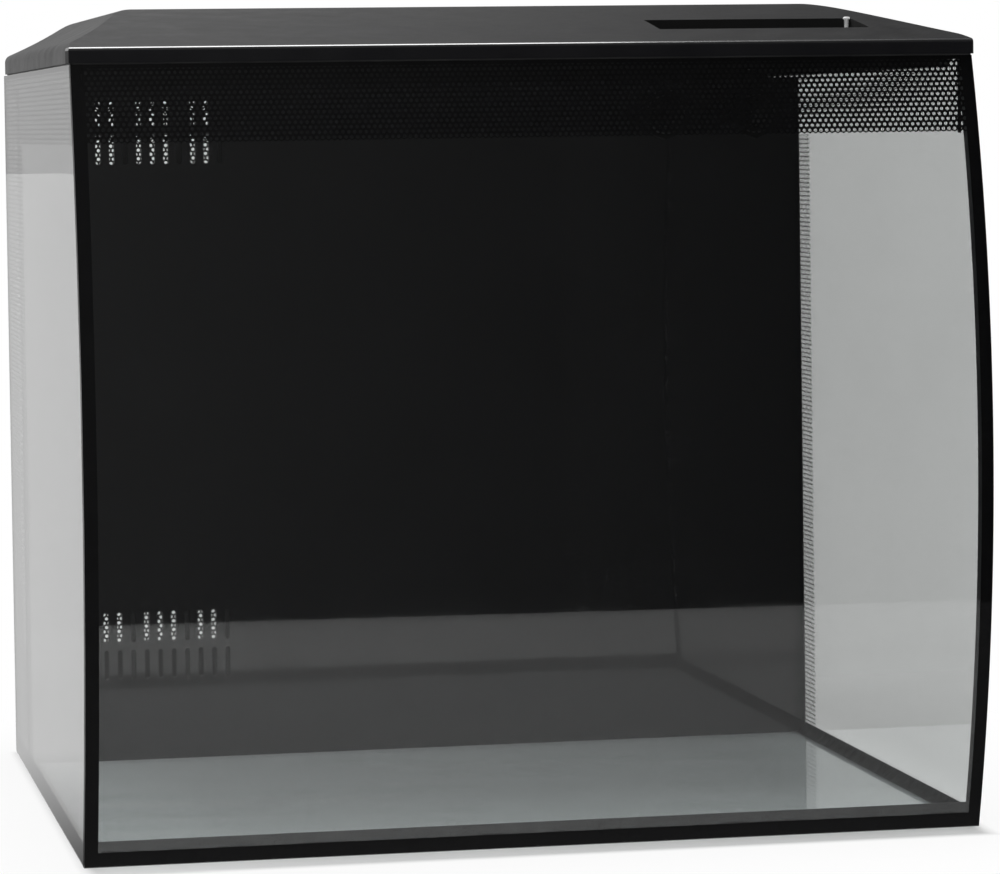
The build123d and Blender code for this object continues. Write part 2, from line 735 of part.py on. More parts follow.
def lid_form(inset):
    """Solid inside the lid's outer skin, taken in by an inset."""
    half = [Line((0, skirt_z), (lid_half_x, skirt_z)),
            Line((lid_half_x, skirt_z), (lid_half_x, side_shoulder_z)),
            SagittaArc((lid_half_x, side_shoulder_z), (ridge_x, lid_top_z), side_dish),
            Line((ridge_x, lid_top_z), (0, lid_top_z)), Line((0, lid_top_z), (0, skirt_z))]
    side = make_face(half)
    side += mirror(side, Plane.YZ)
    for sign in (-1, 1):
        side = fillet(near(side, sign * lid_half_x, side_shoulder_z), side_edge_round)
        side = fillet(near(side, sign * ridge_x, lid_top_z), ridge_round)
    run = [Line((lid_front_y, skirt_z), (back_y, skirt_z)),
           Line((back_y, skirt_z), (back_y, lid_top_z)), Line((back_y, lid_top_z), (ridge_y, lid_top_z)),
           SagittaArc((ridge_y, lid_top_z), (lid_front_y, front_shoulder_z), -front_crown),
           Line((lid_front_y, front_shoulder_z), (lid_front_y, skirt_z))]
    length = make_face(run)
    length = fillet(near(length, ridge_y, lid_top_z), ridge_round)
    length = fillet(near(length, lid_front_y, front_shoulder_z), front_edge_round)
    if inset:
        side = offset(side, -inset, kind=Kind.INTERSECTION)
        length = offset(length, -inset, kind=Kind.INTERSECTION)
    long_form = extrude(Plane.YZ * length, amount=tank_width, both=True)
    long_form &= extrude(Plane.XZ * side, amount=total_depth, both=True)
    return long_form & lid_plan(inset, skirt_z, lid_top_z + past)


lid_outer = lid_form(0)
boss_room = lid_form(lid_wall / 2)
shell = (lid_outer - lid_form(lid_wall)) & slab(lid_base_z, lid_top_z + past)

trim_back_y = lid_front_y + trim_return
trim_zone = block(-tank_width, tank_width, lid_front_y - past, trim_back_y, lid_base_z, front_shoulder_z)
trim_room = trim_zone - lid_form(trim_thickness)
trim = lid_outer & trim_room
shell -= trim_room
save("lid_front_trim", trim)

# Lid frame that rests on the glass, with a rim inside it
frame_low = glass_height + frame_seat
frame_top = frame_low + frame_thickness
frame_half_x = lid_half_x - lid_wall - frame_fit
frame_front_y = lid_front_y + lid_wall + frame_fit
frame_back_y = back_y - lid_wall - frame_fit
rim_half_x = inner_x - rim_side_gap
rim_front_y = bow_line_y(inner_bow, glass_height) + rim_front_gap
rim_back_y = inner_back_y - rim_side_gap


def rim_block(inset, low_z, high_z, corner):
    """Block with round corners, taken in from the outside of the rim."""
    front_y = rim_front_y + inset
    rear_y = rim_back_y - inset
    face = RectangleRounded(2 * (rim_half_x - inset), rear_y - front_y, corner)
    return Pos(0, (front_y + rear_y) / 2, low_z) * extrude(face, amount=high_z - low_z)


frame_inset = rim_thickness + frame_flange
rim_low = glass_height - rim_drop
lid_frame = block(-frame_half_x, frame_half_x, frame_front_y, frame_back_y, frame_low, frame_top)
lid_frame &= lid_plan(lid_wall + frame_fit, frame_low - past, frame_top + past)
lid_frame += rim_block(0, rim_low, frame_top, rim_corner)
lid_frame -= rim_block(rim_thickness, rim_low - past, frame_low, rim_corner - rim_thickness)
lid_frame -= rim_block(frame_inset, frame_low - past, frame_top + past, rim_corner)

boss_x = rim_half_x - rim_thickness - frame_flange / 2
boss_front_y = rim_front_y + frame_inset
boss_pitch = (rim_back_y - frame_inset - boss_front_y) / (screw_rows - 1)
screw_hole = screw_radius + screw_fit
screws = []
for x in (-boss_x, boss_x):
    for y in [boss_front_y + boss_pitch * row for row in range(screw_rows)]:
        shell += rod((x, y, frame_top), up, boss_radius, lid_height) & boss_room
        shell -= rod((x, y, frame_top), up, screw_hole, screw_bite)
        lid_frame -= rod((x, y, frame_low - past), up, screw_hole, frame_thickness + 2 * past)
        screw = rod((x, y, frame_low - screw_head), up, screw_head_radius, screw_head)
        screw += rod((x, y, frame_low), up, screw_radius, frame_thickness + screw_bite - screw_end_gap)
        screws.append(screw)
save("lid_frame", lid_frame)
save("lid_frame_screws", Compound(children=screws))

# Well for the feeding door in the front slope
well_right = lid_half_x - well_side_inset
well_left = well_right - well_length
well_front_y = lid_front_y + well_setback
well_back_y = well_front_y + well_depth
door_top = slope_z(well_setback) - door_sink
door_low = door_top - door_thickness
ledge_top = door_low - seat_gap
ledge_low = ledge_top - ledge_thickness
hinge_y = well_back_y - hinge_inset
hinge_z = door_top - knuckle_radius + knuckle_rise
hinge_front_y = well_back_y - 2 * hinge_inset
well_outer = block(well_left - well_wall, well_right + well_wall, well_front_y - well_wall,
                   well_back_y + well_wall, ledge_low, lid_top_z)
shell += well_outer & lid_outer
shell -= block(well_left, well_right, well_front_y, well_back_y, ledge_top, lid_top_z + past)
shell -= block(well_left + ledge_width, well_right - ledge_width, well_front_y + ledge_width, hinge_front_y,
               ledge_low - past, ledge_top + past)
shell -= block(well_left, well_right, hinge_front_y, well_back_y, ledge_low - past, ledge_top + past)
pin_start = (well_left - well_wall, hinge_y, hinge_z)
pin_length = well_length + 2 * well_wall
pin = rod(pin_start, along, pin_radius, pin_length)
shell -= pin

# Notches for the cables at the back
notch_top = lid_base_z + cable_notch_height
for x, width in ((inner_x - notch_side_inset, pump_notch_width), (0, lamp_notch_width)):
    front_y = back_y - lid_wall - past
    shell -= block(x - width / 2, x + width / 2, front_y, back_y + past, lid_base_z - past, notch_top)

# Lamp under the level top
lamp_top = lid_top_z - lid_wall - lamp_drop
lamp_low = lamp_top - lamp_height
lamp_y = ridge_y + lamp_ridge_gap + lamp_depth / 2
lamp_half_x = ridge_x - lamp_side_gap - ear_length
lamp_half_y = lamp_depth / 2
lens_top = lamp_low + lens_thickness
gasket_top = lens_top + gasket_thickness
board_z = lamp_top - lamp_wall - board_thickness


def lamp_block(inset, low_z, high_z):
    """Block on the lamp's middle, taken in from its outside."""
    low_y = lamp_y - lamp_half_y + inset
    high_y = lamp_y + lamp_half_y - inset
    return block(inset - lamp_half_x, lamp_half_x - inset, low_y, high_y, low_z, high_z)


lamp = fillet(lamp_block(0, lamp_low, lamp_top).edges().filter_by(Axis.Z), lamp_wall)
lamp -= lamp_block(lamp_wall, lamp_low - past, gasket_top)
lamp -= lamp_block(lamp_wall + gasket_width, lamp_low, lamp_top - lamp_wall)
ear_x = lamp_half_x + ear_length / 2
ear_z = lamp_top - ear_thickness
lamp_screws = []
for side in (-1, 1):
    low_y = lamp_y - lamp_half_y + lamp_wall
    high_y = lamp_y + lamp_half_y - lamp_wall
    lamp += side_block(side, lamp_half_x - past, lamp_half_x + ear_length, low_y, high_y, ear_z, lamp_top)
    for y in (lamp_y - ear_hole_spread / 2, lamp_y + ear_hole_spread / 2):
        x = side * ear_x
        lamp -= rod((x, y, ear_z - past), up, screw_hole, ear_thickness + 2 * past)
        shell += rod((x, y, lamp_top), up, boss_radius, lamp_drop + lid_wall / 2)
        shell -= rod((x, y, lamp_top), up, screw_hole, lamp_screw_bite + screw_end_gap / 2)
        screw = rod((x, y, ear_z - screw_head), up, screw_head_radius, screw_head)
        screw += rod((x, y, ear_z), up, screw_radius, ear_thickness + lamp_screw_bite)
        lamp_screws.append(screw)
save("lid_shell", shell)
save("lamp_screws", Compound(children=lamp_screws))

jack_z = (lamp_low + lamp_top) / 2
lamp_back_y = lamp_y + lamp_half_y
wall_y = lamp_back_y - lamp_wall
lamp -= rod((0, wall_y - past, jack_z), rearward, jack_neck_radius, lamp_wall + 2 * past)
save("lamp_housing", lamp)
jack = rod((0, wall_y, jack_z), rearward, jack_neck_radius, lamp_wall)
jack += rod((0, lamp_back_y, jack_z), rearward, jack_radius, jack_length)
jack -= rod((0, lamp_back_y, jack_z), rearward, jack_bore, jack_length + past)
jack += rod((0, wall_y, jack_z), rearward, jack_pin, lamp_wall + jack_length - jack_pin_setback)
save("lamp_socket", jack)

board_inset_all = lamp_wall + board_inset
board_half_x = lamp_half_x - board_inset_all
board_half_y = lamp_half_y - board_inset_all
save("lamp_board", lamp_block(board_inset_all, board_z, board_z + board_thickness))
chip_columns = int(2 * (board_half_x - chip_margin) / chip_pitch) + 1
chip = Box(chip_size, chip_size, chip_height)
chip_rise = Pos(0, lamp_y, board_z - chip_height / 2)
row_pitch = 2 * board_half_y / chip_rows
chips = [chip_rise * place * chip for place in GridLocations(chip_pitch, row_pitch, chip_columns, chip_rows)]
save("lamp_chips", Compound(children=chips))
save("lamp_lens", lamp_block(lamp_wall + lens_fit, lamp_low, lens_top))
gasket = lamp_block(lamp_wall, lens_top, gasket_top)
gasket -= lamp_block(lamp_wall + gasket_width, lens_top - past, gasket_top + past)
save("lamp_gasket", gasket)

# Feeding door on its pin, and the bright clip beside it
door_left = well_left + door_gap
door_right = well_right - door_clip_space
door_front_y = well_front_y + door_gap
door = block(door_left, door_right, door_front_y, hinge_y, door_low, door_top)
door += rod((door_left, hinge_y, hinge_z), along, knuckle_radius, door_right - door_left)
pull_left = (door_left + door_right - pull_length) / 2
pull_top = door_top + pull_height
door += block(pull_left, pull_left + pull_length, door_front_y, door_front_y + pull_width, door_low, pull_top)
bore_length = door_right - door_left + 2 * past
door -= rod((door_left - past, hinge_y, hinge_z), along, pin_radius + pin_fit, bore_length)
save("feeding_door", door)
save("feeding_door_pin", pin)

clip_x = well_right - clip_cap_width / 2 - clip_side_gap
clip_top = slope_z(well_setback + well_depth) + clip_proud


def clip_block(width, thickness, height):
    """Block on the well's back wall, down from the clip's top."""
    front_y = well_back_y - thickness
    return block(clip_x - width / 2, clip_x + width / 2, front_y, well_back_y, clip_top - height, clip_top)


cap = clip_block(clip_cap_width, 2 * clip_thickness, clip_cap_height)
save("door_spring_clip", clip_block(clip_width, clip_thickness, clip_height) + cap)

print(len(parts_made), "pieces written")
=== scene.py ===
import math

import bmesh
import bpy
from mathutils import Matrix, Vector, noise


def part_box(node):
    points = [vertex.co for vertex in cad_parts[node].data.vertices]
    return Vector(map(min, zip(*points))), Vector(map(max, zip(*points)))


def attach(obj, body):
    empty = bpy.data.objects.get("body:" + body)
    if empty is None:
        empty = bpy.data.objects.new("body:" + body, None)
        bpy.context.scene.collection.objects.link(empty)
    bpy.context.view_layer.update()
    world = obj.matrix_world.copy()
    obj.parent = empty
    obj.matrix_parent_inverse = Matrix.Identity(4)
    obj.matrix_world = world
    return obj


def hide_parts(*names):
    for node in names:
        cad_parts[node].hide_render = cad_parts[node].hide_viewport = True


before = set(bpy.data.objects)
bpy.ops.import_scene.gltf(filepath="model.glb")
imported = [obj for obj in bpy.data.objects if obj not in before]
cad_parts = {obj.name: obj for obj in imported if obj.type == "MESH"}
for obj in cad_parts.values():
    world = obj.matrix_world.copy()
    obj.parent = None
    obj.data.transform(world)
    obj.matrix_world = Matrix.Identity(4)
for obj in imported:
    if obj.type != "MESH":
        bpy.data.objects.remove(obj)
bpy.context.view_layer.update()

# Camera: a long lens, to the left of the tank and level with its upper half. The shift puts
# the lens's axis above the middle of the picture.
CAMERA_PLACE = (-0.3812855, -2.0225495, 0.3243849)
CAMERA_YAW, CAMERA_PITCH, CAMERA_ROLL = -0.1949, -0.0379, 0.0139
PICTURE_WIDE, PICTURE_HIGH = 1000, 874
FOCAL_PIXELS, AXIS_ROW = 4242.2469, 285.0968
turn = Matrix.Rotation(CAMERA_YAW, 3, "Z") @ Matrix.Rotation(CAMERA_PITCH, 3, "X")
turn = turn @ Matrix.Rotation(CAMERA_ROLL, 3, "Y")
right, forward, upward = (turn @ Vector(axis) for axis in ((1, 0, 0), (0, 1, 0), (0, 0, 1)))
camera_data = bpy.data.cameras.new("camera")
camera_data.sensor_width = 36.0
camera_data.lens = FOCAL_PIXELS / PICTURE_WIDE * camera_data.sensor_width
camera_data.shift_y = (AXIS_ROW - PICTURE_HIGH / 2) / PICTURE_WIDE
camera_data.clip_start = 0.05
camera_data.clip_end = 50.0
camera = bpy.data.objects.new("camera", camera_data)
camera.matrix_world = Matrix((
    (right.x, upward.x, -forward.x, CAMERA_PLACE[0]),
    (right.y, upward.y, -forward.y, CAMERA_PLACE[1]),
    (right.z, upward.z, -forward.z, CAMERA_PLACE[2]),
    (0, 0, 0, 1)))
bpy.context.scene.collection.objects.link(camera)
bpy.context.scene.camera = camera


def material(name):
    """New node material: its tree and its Principled BSDF."""
    made = bpy.data.materials.new(name)
    made.use_nodes = True
    return made, made.node_tree, made.node_tree.nodes["Principled BSDF"]


def mesh_object(name, verts, faces, finish):
    """Object at the origin with its place in its mesh."""
    mesh = bpy.data.meshes.new(name)
    mesh.from_pydata(verts, [], faces)
    mesh.validate()
    mesh.materials.append(finish)
    made = bpy.data.objects.new(name, mesh)
    bpy.context.scene.collection.objects.link(made)
    return made


# Table top: plain and pale, and a little askew to the tank. It is white to the eye and through
# clear glass, keeps the tank's own shade, and what it lends to mirrored rays is a quiet grey.
TABLE_FRONT_LEFT, TABLE_FRONT_RIGHT = -0.609, -0.357
TABLE_SIDE = 3.0
TABLE_BACK = 30.0
TABLE_COLOUR = (0.80, 0.80, 0.80, 1)
TANK_HALF = (0.205, 0.19)
# Painted light under the tank: its glow is brighter at the left than at the right.
UNDER_TANK_PAINTED_LIGHT_LEFT, UNDER_TANK_PAINTED_LIGHT_RIGHT = 0.25, 0.03
NEAR_TANK, NEAR_REACH = 0.90, 0.12
FOOT_EDGE = 0.004
# Painted shadow: seen through glass, the glow dims in a band beside the tank.
SHADE, SHADE_NEAR, SHADE_FAR = 0.66, (0.018, 0.045), (0.09, 0.17)
MIRRORED_AHEAD, MIRRORED_BEHIND = 0.10, 0.74
THROUGH_GLASS_LEFT, THROUGH_GLASS_RIGHT = 1.28, 0.74
THROUGH_GLASS_X = (-0.1, 0.45)


def math_node(made, operation, first, second=None):
    """Math node in a tree, from numbers or sockets."""
    node = made.nodes.new("ShaderNodeMath")
    node.operation = operation
    for socket, given_value in zip(node.inputs, (first, second)):
        if given_value is None:
            continue
        if isinstance(given_value, (int, float)):
            socket.default_value = given_value
        else:
            made.links.new(given_value, socket)
    return node.outputs[0]


def ramp(made, value, low, high, low_result, high_result):
    """Straight ramp of a value between two limits."""
    node = made.nodes.new("ShaderNodeMapRange")
    made.links.new(value, node.inputs["Value"])
    limits = (("From Min", low), ("From Max", high), ("To Min", low_result), ("To Max", high_result))
    for label, given_value in limits:
        if isinstance(given_value, (int, float)):
            node.inputs[label].default_value = given_value
        else:
            made.links.new(given_value, node.inputs[label])
    return node.outputs["Result"]


def place_parts(made, kind="Object"):
    """X, Y and Z of a point's place in a material, as output sockets."""
    place = made.nodes.new("ShaderNodeTexCoord")
    split = made.nodes.new("ShaderNodeSeparateXYZ")
    made.links.new(place.outputs[kind], split.inputs[0])
    return split.outputs


def seen_rays(made):
    """Masks of a stage material: all that is seen, what is mirrored and what came through glass."""
    path = made.nodes.new("ShaderNodeLightPath")
    seen = math_node(made, "MAXIMUM", path.outputs["Is Camera Ray"], path.outputs["Is Glossy Ray"])
    seen = math_node(made, "MAXIMUM", seen, path.outputs["Is Transmission Ray"])
    mirrored = math_node(made, "GREATER_THAN", path.outputs["Glossy Depth"], 0.5)
    through = math_node(made, "GREATER_THAN", path.outputs["Transmission Depth"], 0.5)
    return seen, mirrored, through


pale, tree, surface = material("pale_table")
nodes, links = tree.nodes, tree.links
surface.inputs["Base Color"].default_value = TABLE_COLOUR
surface.inputs["Roughness"].default_value = 0.7
surface.inputs["Specular IOR Level"].default_value = 0.2
seen, mirrored, through = seen_rays(tree)
at = place_parts(tree)
away = [math_node(tree, "SUBTRACT", math_node(tree, "ABSOLUTE", at[axis]), TANK_HALF[axis])
        for axis in (0, 1)]
distance = math_node(tree, "MAXIMUM", *away)
white = ramp(tree, distance, FOOT_EDGE, NEAR_REACH, NEAR_TANK, 1.0)
# Painted shadow band beside the tank, for rays that came through glass.
shade = ramp(tree, distance, *SHADE_NEAR, 1.0, SHADE)
shade = math_node(tree, "MAXIMUM", shade, ramp(tree, distance, *SHADE_FAR, SHADE, 1.0))
white = math_node(tree, "MULTIPLY", white, ramp(tree, through, 0.0, 1.0, 1.0, shade))
# Painted light: under the tank the glow fades from the left to the right, as if lit from the left.
painted_light_under = ramp(tree, at["X"], -TANK_HALF[0], TANK_HALF[0], UNDER_TANK_PAINTED_LIGHT_LEFT, UNDER_TANK_PAINTED_LIGHT_RIGHT)
white = ramp(tree, distance, -FOOT_EDGE, FOOT_EDGE, painted_light_under, white)
white = math_node(tree, "MAXIMUM", white, mirrored)
through_tone = ramp(tree, at["X"], *THROUGH_GLASS_X, THROUGH_GLASS_LEFT, THROUGH_GLASS_RIGHT)
glow_tone = ramp(tree, through, 0.0, 1.0, MIRRORED_AHEAD, through_tone)
glow_tone = ramp(tree, at["Y"], -TANK_HALF[1], TANK_HALF[1], glow_tone, MIRRORED_BEHIND)
glow_tone = ramp(tree, mirrored, 0.0, 1.0, 1.0, glow_tone)
glow = nodes.new("ShaderNodeEmission")
links.new(glow_tone, glow.inputs["Strength"])
mixed = nodes.new("ShaderNodeMixShader")
links.new(math_node(tree, "MULTIPLY", seen, white), mixed.inputs[0])
links.new(surface.outputs[0], mixed.inputs[1])
links.new(glow.outputs[0], mixed.inputs[2])
links.new(mixed.outputs[0], nodes["Material Output"].inputs["Surface"])
table = mesh_object("table", [
    (-TABLE_SIDE, TABLE_FRONT_LEFT, 0), (TABLE_SIDE, TABLE_FRONT_RIGHT, 0),
    (TABLE_SIDE, TABLE_BACK, 0), (-TABLE_SIDE, TABLE_BACK, 0)], [(0, 1, 2, 3)], pale)

# Studio: white to the eye and to clear glass, and a softer light on the object. What its faces
# mirror is dark ahead, grey behind and bright overhead, and each of these falls off to the right.
ROOM_LIGHT = 0.62
DARK_AHEAD_LEFT, DARK_AHEAD_RIGHT, AHEAD_X = 0.12, 0.04, (0.08, 0.26)
GREY_BEHIND, GREY_RIGHT, BEHIND_X = 0.52, 0.02, (0.08, 0.27)
ABOVE_LEFT, ABOVE_RIGHT, ABOVE_X = 1.0, 0.15, (0.12, 0.31)
AHEAD_TO_BEHIND_Y, LEVEL_TO_ABOVE_Z = (-0.25, 0.15), (0.65, 0.92)
MIRRORED_ON_FLOOR = 0.86
LAMP_POWER = 30.0
LAMP_SIZE = (1.1, 1.7)
LAMP_PLACE = (-0.08, -0.1, 2.2)
world = bpy.data.worlds.new("studio")
world.use_nodes = True
bpy.context.scene.world = world
tree = world.node_tree
nodes, links = tree.nodes, tree.links
background = nodes["Background"]
seen, mirrored, through = seen_rays(tree)
at = place_parts(tree, "Generated")
ahead = ramp(tree, at["X"], *AHEAD_X, DARK_AHEAD_LEFT, DARK_AHEAD_RIGHT)
behind = math_node(tree, "MULTIPLY", GREY_BEHIND, ramp(tree, at["X"], *BEHIND_X, 1.0, GREY_RIGHT))
behind = ramp(tree, through, 0.0, 1.0, behind, MIRRORED_ON_FLOOR)
tone = ramp(tree, at["Y"], *AHEAD_TO_BEHIND_Y, ahead, behind)
above = ramp(tree, at["X"], *ABOVE_X, ABOVE_LEFT, ABOVE_RIGHT)
tone = ramp(tree, at["Z"], *LEVEL_TO_ABOVE_Z, tone, above)
tone = ramp(tree, mirrored, 0.0, 1.0, 1.0, tone)
links.new(ramp(tree, seen, 0.0, 1.0, ROOM_LIGHT, tone), background.inputs["Strength"])
background.inputs["Color"].default_value = (1, 1, 1, 1)
lamp_data = bpy.data.lights.new("overhead", "AREA")
lamp_data.energy = LAMP_POWER
lamp_data.shape = "RECTANGLE"
lamp_data.size, lamp_data.size_y = LAMP_SIZE
overhead = bpy.data.objects.new("overhead", lamp_data)
overhead.location = LAMP_PLACE
bpy.context.scene.collection.objects.link(overhead)
bpy.context.scene.view_settings.view_transform = "Standard"


# Panes: clear float glass with polished edges, glued edge to edge. Lamps' rays pass straight
# through, so that the inside is lit, and a thin film of handling marks dulls the shine.
GLASS_TINT = (0.815, 0.825, 0.82)
FLOOR_TINT = (0.80, 0.86, 0.87)
LAMP_RAY_TINT = (0.9, 0.92, 0.915, 1)
GLASS_FILM = 0.965
GLASS_IOR = 1.5


def value_group(name, inputs, outputs):
    """Empty shader node group with number inputs and outputs."""
    group = bpy.data.node_groups.new(name, "ShaderNodeTree")
    for label, default in inputs:
        socket = group.interface.new_socket(label, in_out="INPUT", socket_type="NodeSocketFloat")
        socket.default_value = default
    for label in outputs:
        group.interface.new_socket(label, in_out="OUTPUT", socket_type="NodeSocketFloat")
    return group, group.nodes.new("NodeGroupInput"), group.nodes.new("NodeGroupOutput")


# Cloudy value between two limits, for what hands, grease and moulding leave on a surface.
cloud_group, given, result = value_group(
    "cloudy_value", (("Scale", 40.0), ("Low", 0.0), ("High", 1.0), ("Contrast", 0.2)), ("Value",))
nodes, links = cloud_group.nodes, cloud_group.links
place = nodes.new("ShaderNodeTexCoord")
clouds = nodes.new("ShaderNodeTexNoise")
clouds.inputs["Detail"].default_value = 5.0
clouds.inputs["Roughness"].default_value = 0.6
links.new(place.outputs["Object"], clouds.inputs["Vector"])
links.new(given.outputs["Scale"], clouds.inputs["Scale"])
low_edge = math_node(cloud_group, "SUBTRACT", 0.5, given.outputs["Contrast"])
high_edge = math_node(cloud_group, "ADD", 0.5, given.outputs["Contrast"])
spread = ramp(cloud_group, clouds.outputs["Fac"], low_edge, high_edge,
              given.outputs["Low"], given.outputs["High"])
links.new(spread, result.inputs["Value"])


def cloudy(tree, scale, low, high, contrast=0.2):
    """Cloudy value in a material, as an output socket."""
    node = tree.nodes.new("ShaderNodeGroup")
    node.node_tree = cloud_group
    for label, number in (("Scale", scale), ("Low", low), ("High", high), ("Contrast", contrast)):
        node.inputs[label].default_value = number
    return node.outputs["Value"]


def bump(tree, surface, height, strength, distance):
    """Bump from a height socket, fed to the surface's normal."""
    node = tree.nodes.new("ShaderNodeBump")
    node.inputs["Strength"].default_value = strength
    node.inputs["Distance"].default_value = distance
    tree.links.new(height, node.inputs["Height"])
    tree.links.new(node.outputs["Normal"], surface.inputs["Normal"])


def tint(tree, surface, dark, light, mask):
    """Base colour between two colours by a mask socket."""
    node = tree.nodes.new("ShaderNodeMix")
    node.data_type = "RGBA"
    node.inputs["A"].default_value = (*dark, 1)
    node.inputs["B"].default_value = (*light, 1)
    tree.links.new(mask, node.inputs["Factor"])
    tree.links.new(node.outputs["Result"], surface.inputs["Base Color"])


def dress(node, finish):
    """Give a CAD node its finish."""
    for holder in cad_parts[node].material_slots:
        holder.material = finish


def float_glass(name, colour):
    """Clear float glass of one tint, open to the lamps' rays."""
    made, tree, surface = material(name)
    filmed = [channel * GLASS_FILM for channel in colour]
    tint(tree, surface, filmed, colour, cloudy(tree, 16.0, 0.0, 1.0, 0.3))
    surface.inputs["Transmission Weight"].default_value = 1.0
    surface.inputs["IOR"].default_value = GLASS_IOR
    tree.links.new(cloudy(tree, 9.0, 0.0, 0.03, 0.25), surface.inputs["Roughness"])
    path = tree.nodes.new("ShaderNodeLightPath")
    open_way = tree.nodes.new("ShaderNodeBsdfTransparent")
    open_way.inputs["Color"].default_value = LAMP_RAY_TINT
    mixed = tree.nodes.new("ShaderNodeMixShader")
    tree.links.new(path.outputs["Is Shadow Ray"], mixed.inputs[0])
    tree.links.new(surface.outputs[0], mixed.inputs[1])
    tree.links.new(open_way.outputs[0], mixed.inputs[2])
    tree.links.new(mixed.outputs[0], tree.nodes["Material Output"].inputs["Surface"])
    return made


clear_glass = float_glass("clear_glass", GLASS_TINT)
for side in ("front", "back", "left", "right"):
    dress("glass_" + side, clear_glass)
dress("glass_bottom", float_glass("floor_glass", FLOOR_TINT))

# Print on the panes: black enamel with clear dots in a honeycomb and a solid border. It lies
# in the glass, just behind each pane's inner face, so that no two faces meet.
PITCH = 0.00261
ROW_PITCH = PITCH * math.sqrt(3) / 2
DOT_RADIUS = 0.00083
PRINT_DEPTH = 0.00012
BAND_LOW = 0.3172
PANE_TOP = 0.35298
GLASS_TOP = 0.353
INNER_X = 0.200
INNER_BACK_Y = 0.190
BOW_RISE = 0.027
PANE_THICKNESS = 0.005
MIDDLE_Z = 0.1765
front_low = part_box("glass_front")[0]
BOW_RADIUS = (MIDDLE_Z ** 2 + BOW_RISE ** 2) / (2 * BOW_RISE) - PANE_THICKNESS + PRINT_DEPTH
BOW_Y = front_low.y + PANE_THICKNESS - PRINT_DEPTH + BOW_RADIUS
enamel, tree, surface = material("fired_enamel")
surface.inputs["Specular IOR Level"].default_value = 0.03
tint(tree, surface, (0.0015, 0.0015, 0.0018), (0.003, 0.003, 0.0035), cloudy(tree, 60.0, 0.0, 1.0))
tree.links.new(cloudy(tree, 25.0, 0.2, 0.35), surface.inputs["Roughness"])


def dot_cell(sides, radius):
    """One cell of the honeycomb: a hexagon round a hole with this many sides."""
    verts = []
    for corners, reach in ((6, PITCH / math.sqrt(3)), (sides, radius)):
        verts += [(reach * math.sin(math.tau / corners * k), reach * math.cos(math.tau / corners * k), 0)
                  for k in range(corners)]
    per_side = sides // 6
    faces = []
    for k in range(6):
        ring = [6 + (k * per_side + j) % sides for j in range(per_side + 1)]
        faces.append([k, *ring, (k + 1) % 6])
    cell = mesh_object(f"dot_cell_{sides}", verts, faces, enamel)
    cell.hide_render = True
    return cell


def geometry_tree(name, inputs):
    """Geometry node tree with a Geometry output and named inputs; also each input's identifier."""
    made = bpy.data.node_groups.new(name, "GeometryNodeTree")
    made.interface.new_socket("Geometry", in_out="OUTPUT", socket_type="NodeSocketGeometry")
    keys = {}
    for label, kind in inputs:
        keys[label] = made.interface.new_socket(label, in_out="INPUT", socket_type=kind).identifier
    return made, keys, made.nodes.new("NodeGroupInput"), made.nodes.new("NodeGroupOutput")


def run_tree(name, made, keys, values):
    """Plain mesh object from a geometry tree and the values of its inputs."""
    holder = bpy.data.objects.new(name, bpy.data.meshes.new(name))
    bpy.context.scene.collection.objects.link(holder)
    modifier = holder.modifiers.new(name, "NODES")
    modifier.node_group = made
    for label, given_value in values.items():
        modifier[keys[label]] = given_value
    graph = bpy.context.evaluated_depsgraph_get()
    shape = bpy.data.meshes.new_from_object(holder.evaluated_get(graph))
    holder.modifiers.remove(modifier)
    holder.data = shape
    return holder


film_tree, film_keys, given, result = geometry_tree("dot_film", (
    ("Cell", "NodeSocketObject"), ("Columns", "NodeSocketInt"), ("Rows", "NodeSocketInt"),
    ("Column Pitch", "NodeSocketFloat"), ("Row Pitch", "NodeSocketFloat"), ("Finish", "NodeSocketMaterial")))
nodes, links = film_tree.nodes, film_tree.links
grid = nodes.new("GeometryNodeMeshGrid")
links.new(given.outputs["Columns"], grid.inputs["Vertices X"])
links.new(given.outputs["Rows"], grid.inputs["Vertices Y"])
for count, pitch, size in (("Columns", "Column Pitch", "Size X"), ("Rows", "Row Pitch", "Size Y")):
    gaps = math_node(film_tree, "SUBTRACT", given.outputs[count], 1)
    links.new(math_node(film_tree, "MULTIPLY", gaps, given.outputs[pitch]), grid.inputs[size])
where = nodes.new("GeometryNodeInputPosition")
split = nodes.new("ShaderNodeSeparateXYZ")
links.new(where.outputs[0], split.inputs[0])
half_rows = math_node(film_tree, "MULTIPLY", math_node(film_tree, "SUBTRACT", given.outputs["Rows"], 1), 0.5)
row = math_node(film_tree, "DIVIDE", split.outputs["Y"], given.outputs["Row Pitch"])
row = math_node(film_tree, "ROUND", math_node(film_tree, "ADD", row, half_rows))
odd = math_node(film_tree, "MODULO", row, 2)
half_pitch = math_node(film_tree, "MULTIPLY", given.outputs["Column Pitch"], 0.5)
shift = nodes.new("ShaderNodeCombineXYZ")
links.new(math_node(film_tree, "MULTIPLY", odd, half_pitch), shift.inputs["X"])
stagger = nodes.new("GeometryNodeSetPosition")
links.new(grid.outputs["Mesh"], stagger.inputs["Geometry"])
links.new(shift.outputs[0], stagger.inputs["Offset"])
cell_shape = nodes.new("GeometryNodeObjectInfo")
links.new(given.outputs["Cell"], cell_shape.inputs["Object"])
copies = nodes.new("GeometryNodeInstanceOnPoints")
links.new(stagger.outputs["Geometry"], copies.inputs["Points"])
links.new(cell_shape.outputs["Geometry"], copies.inputs["Instance"])
real = nodes.new("GeometryNodeRealizeInstances")
links.new(copies.outputs["Instances"], real.inputs["Geometry"])
weld = nodes.new("GeometryNodeMergeByDistance")
weld.inputs["Distance"].default_value = PITCH / 50
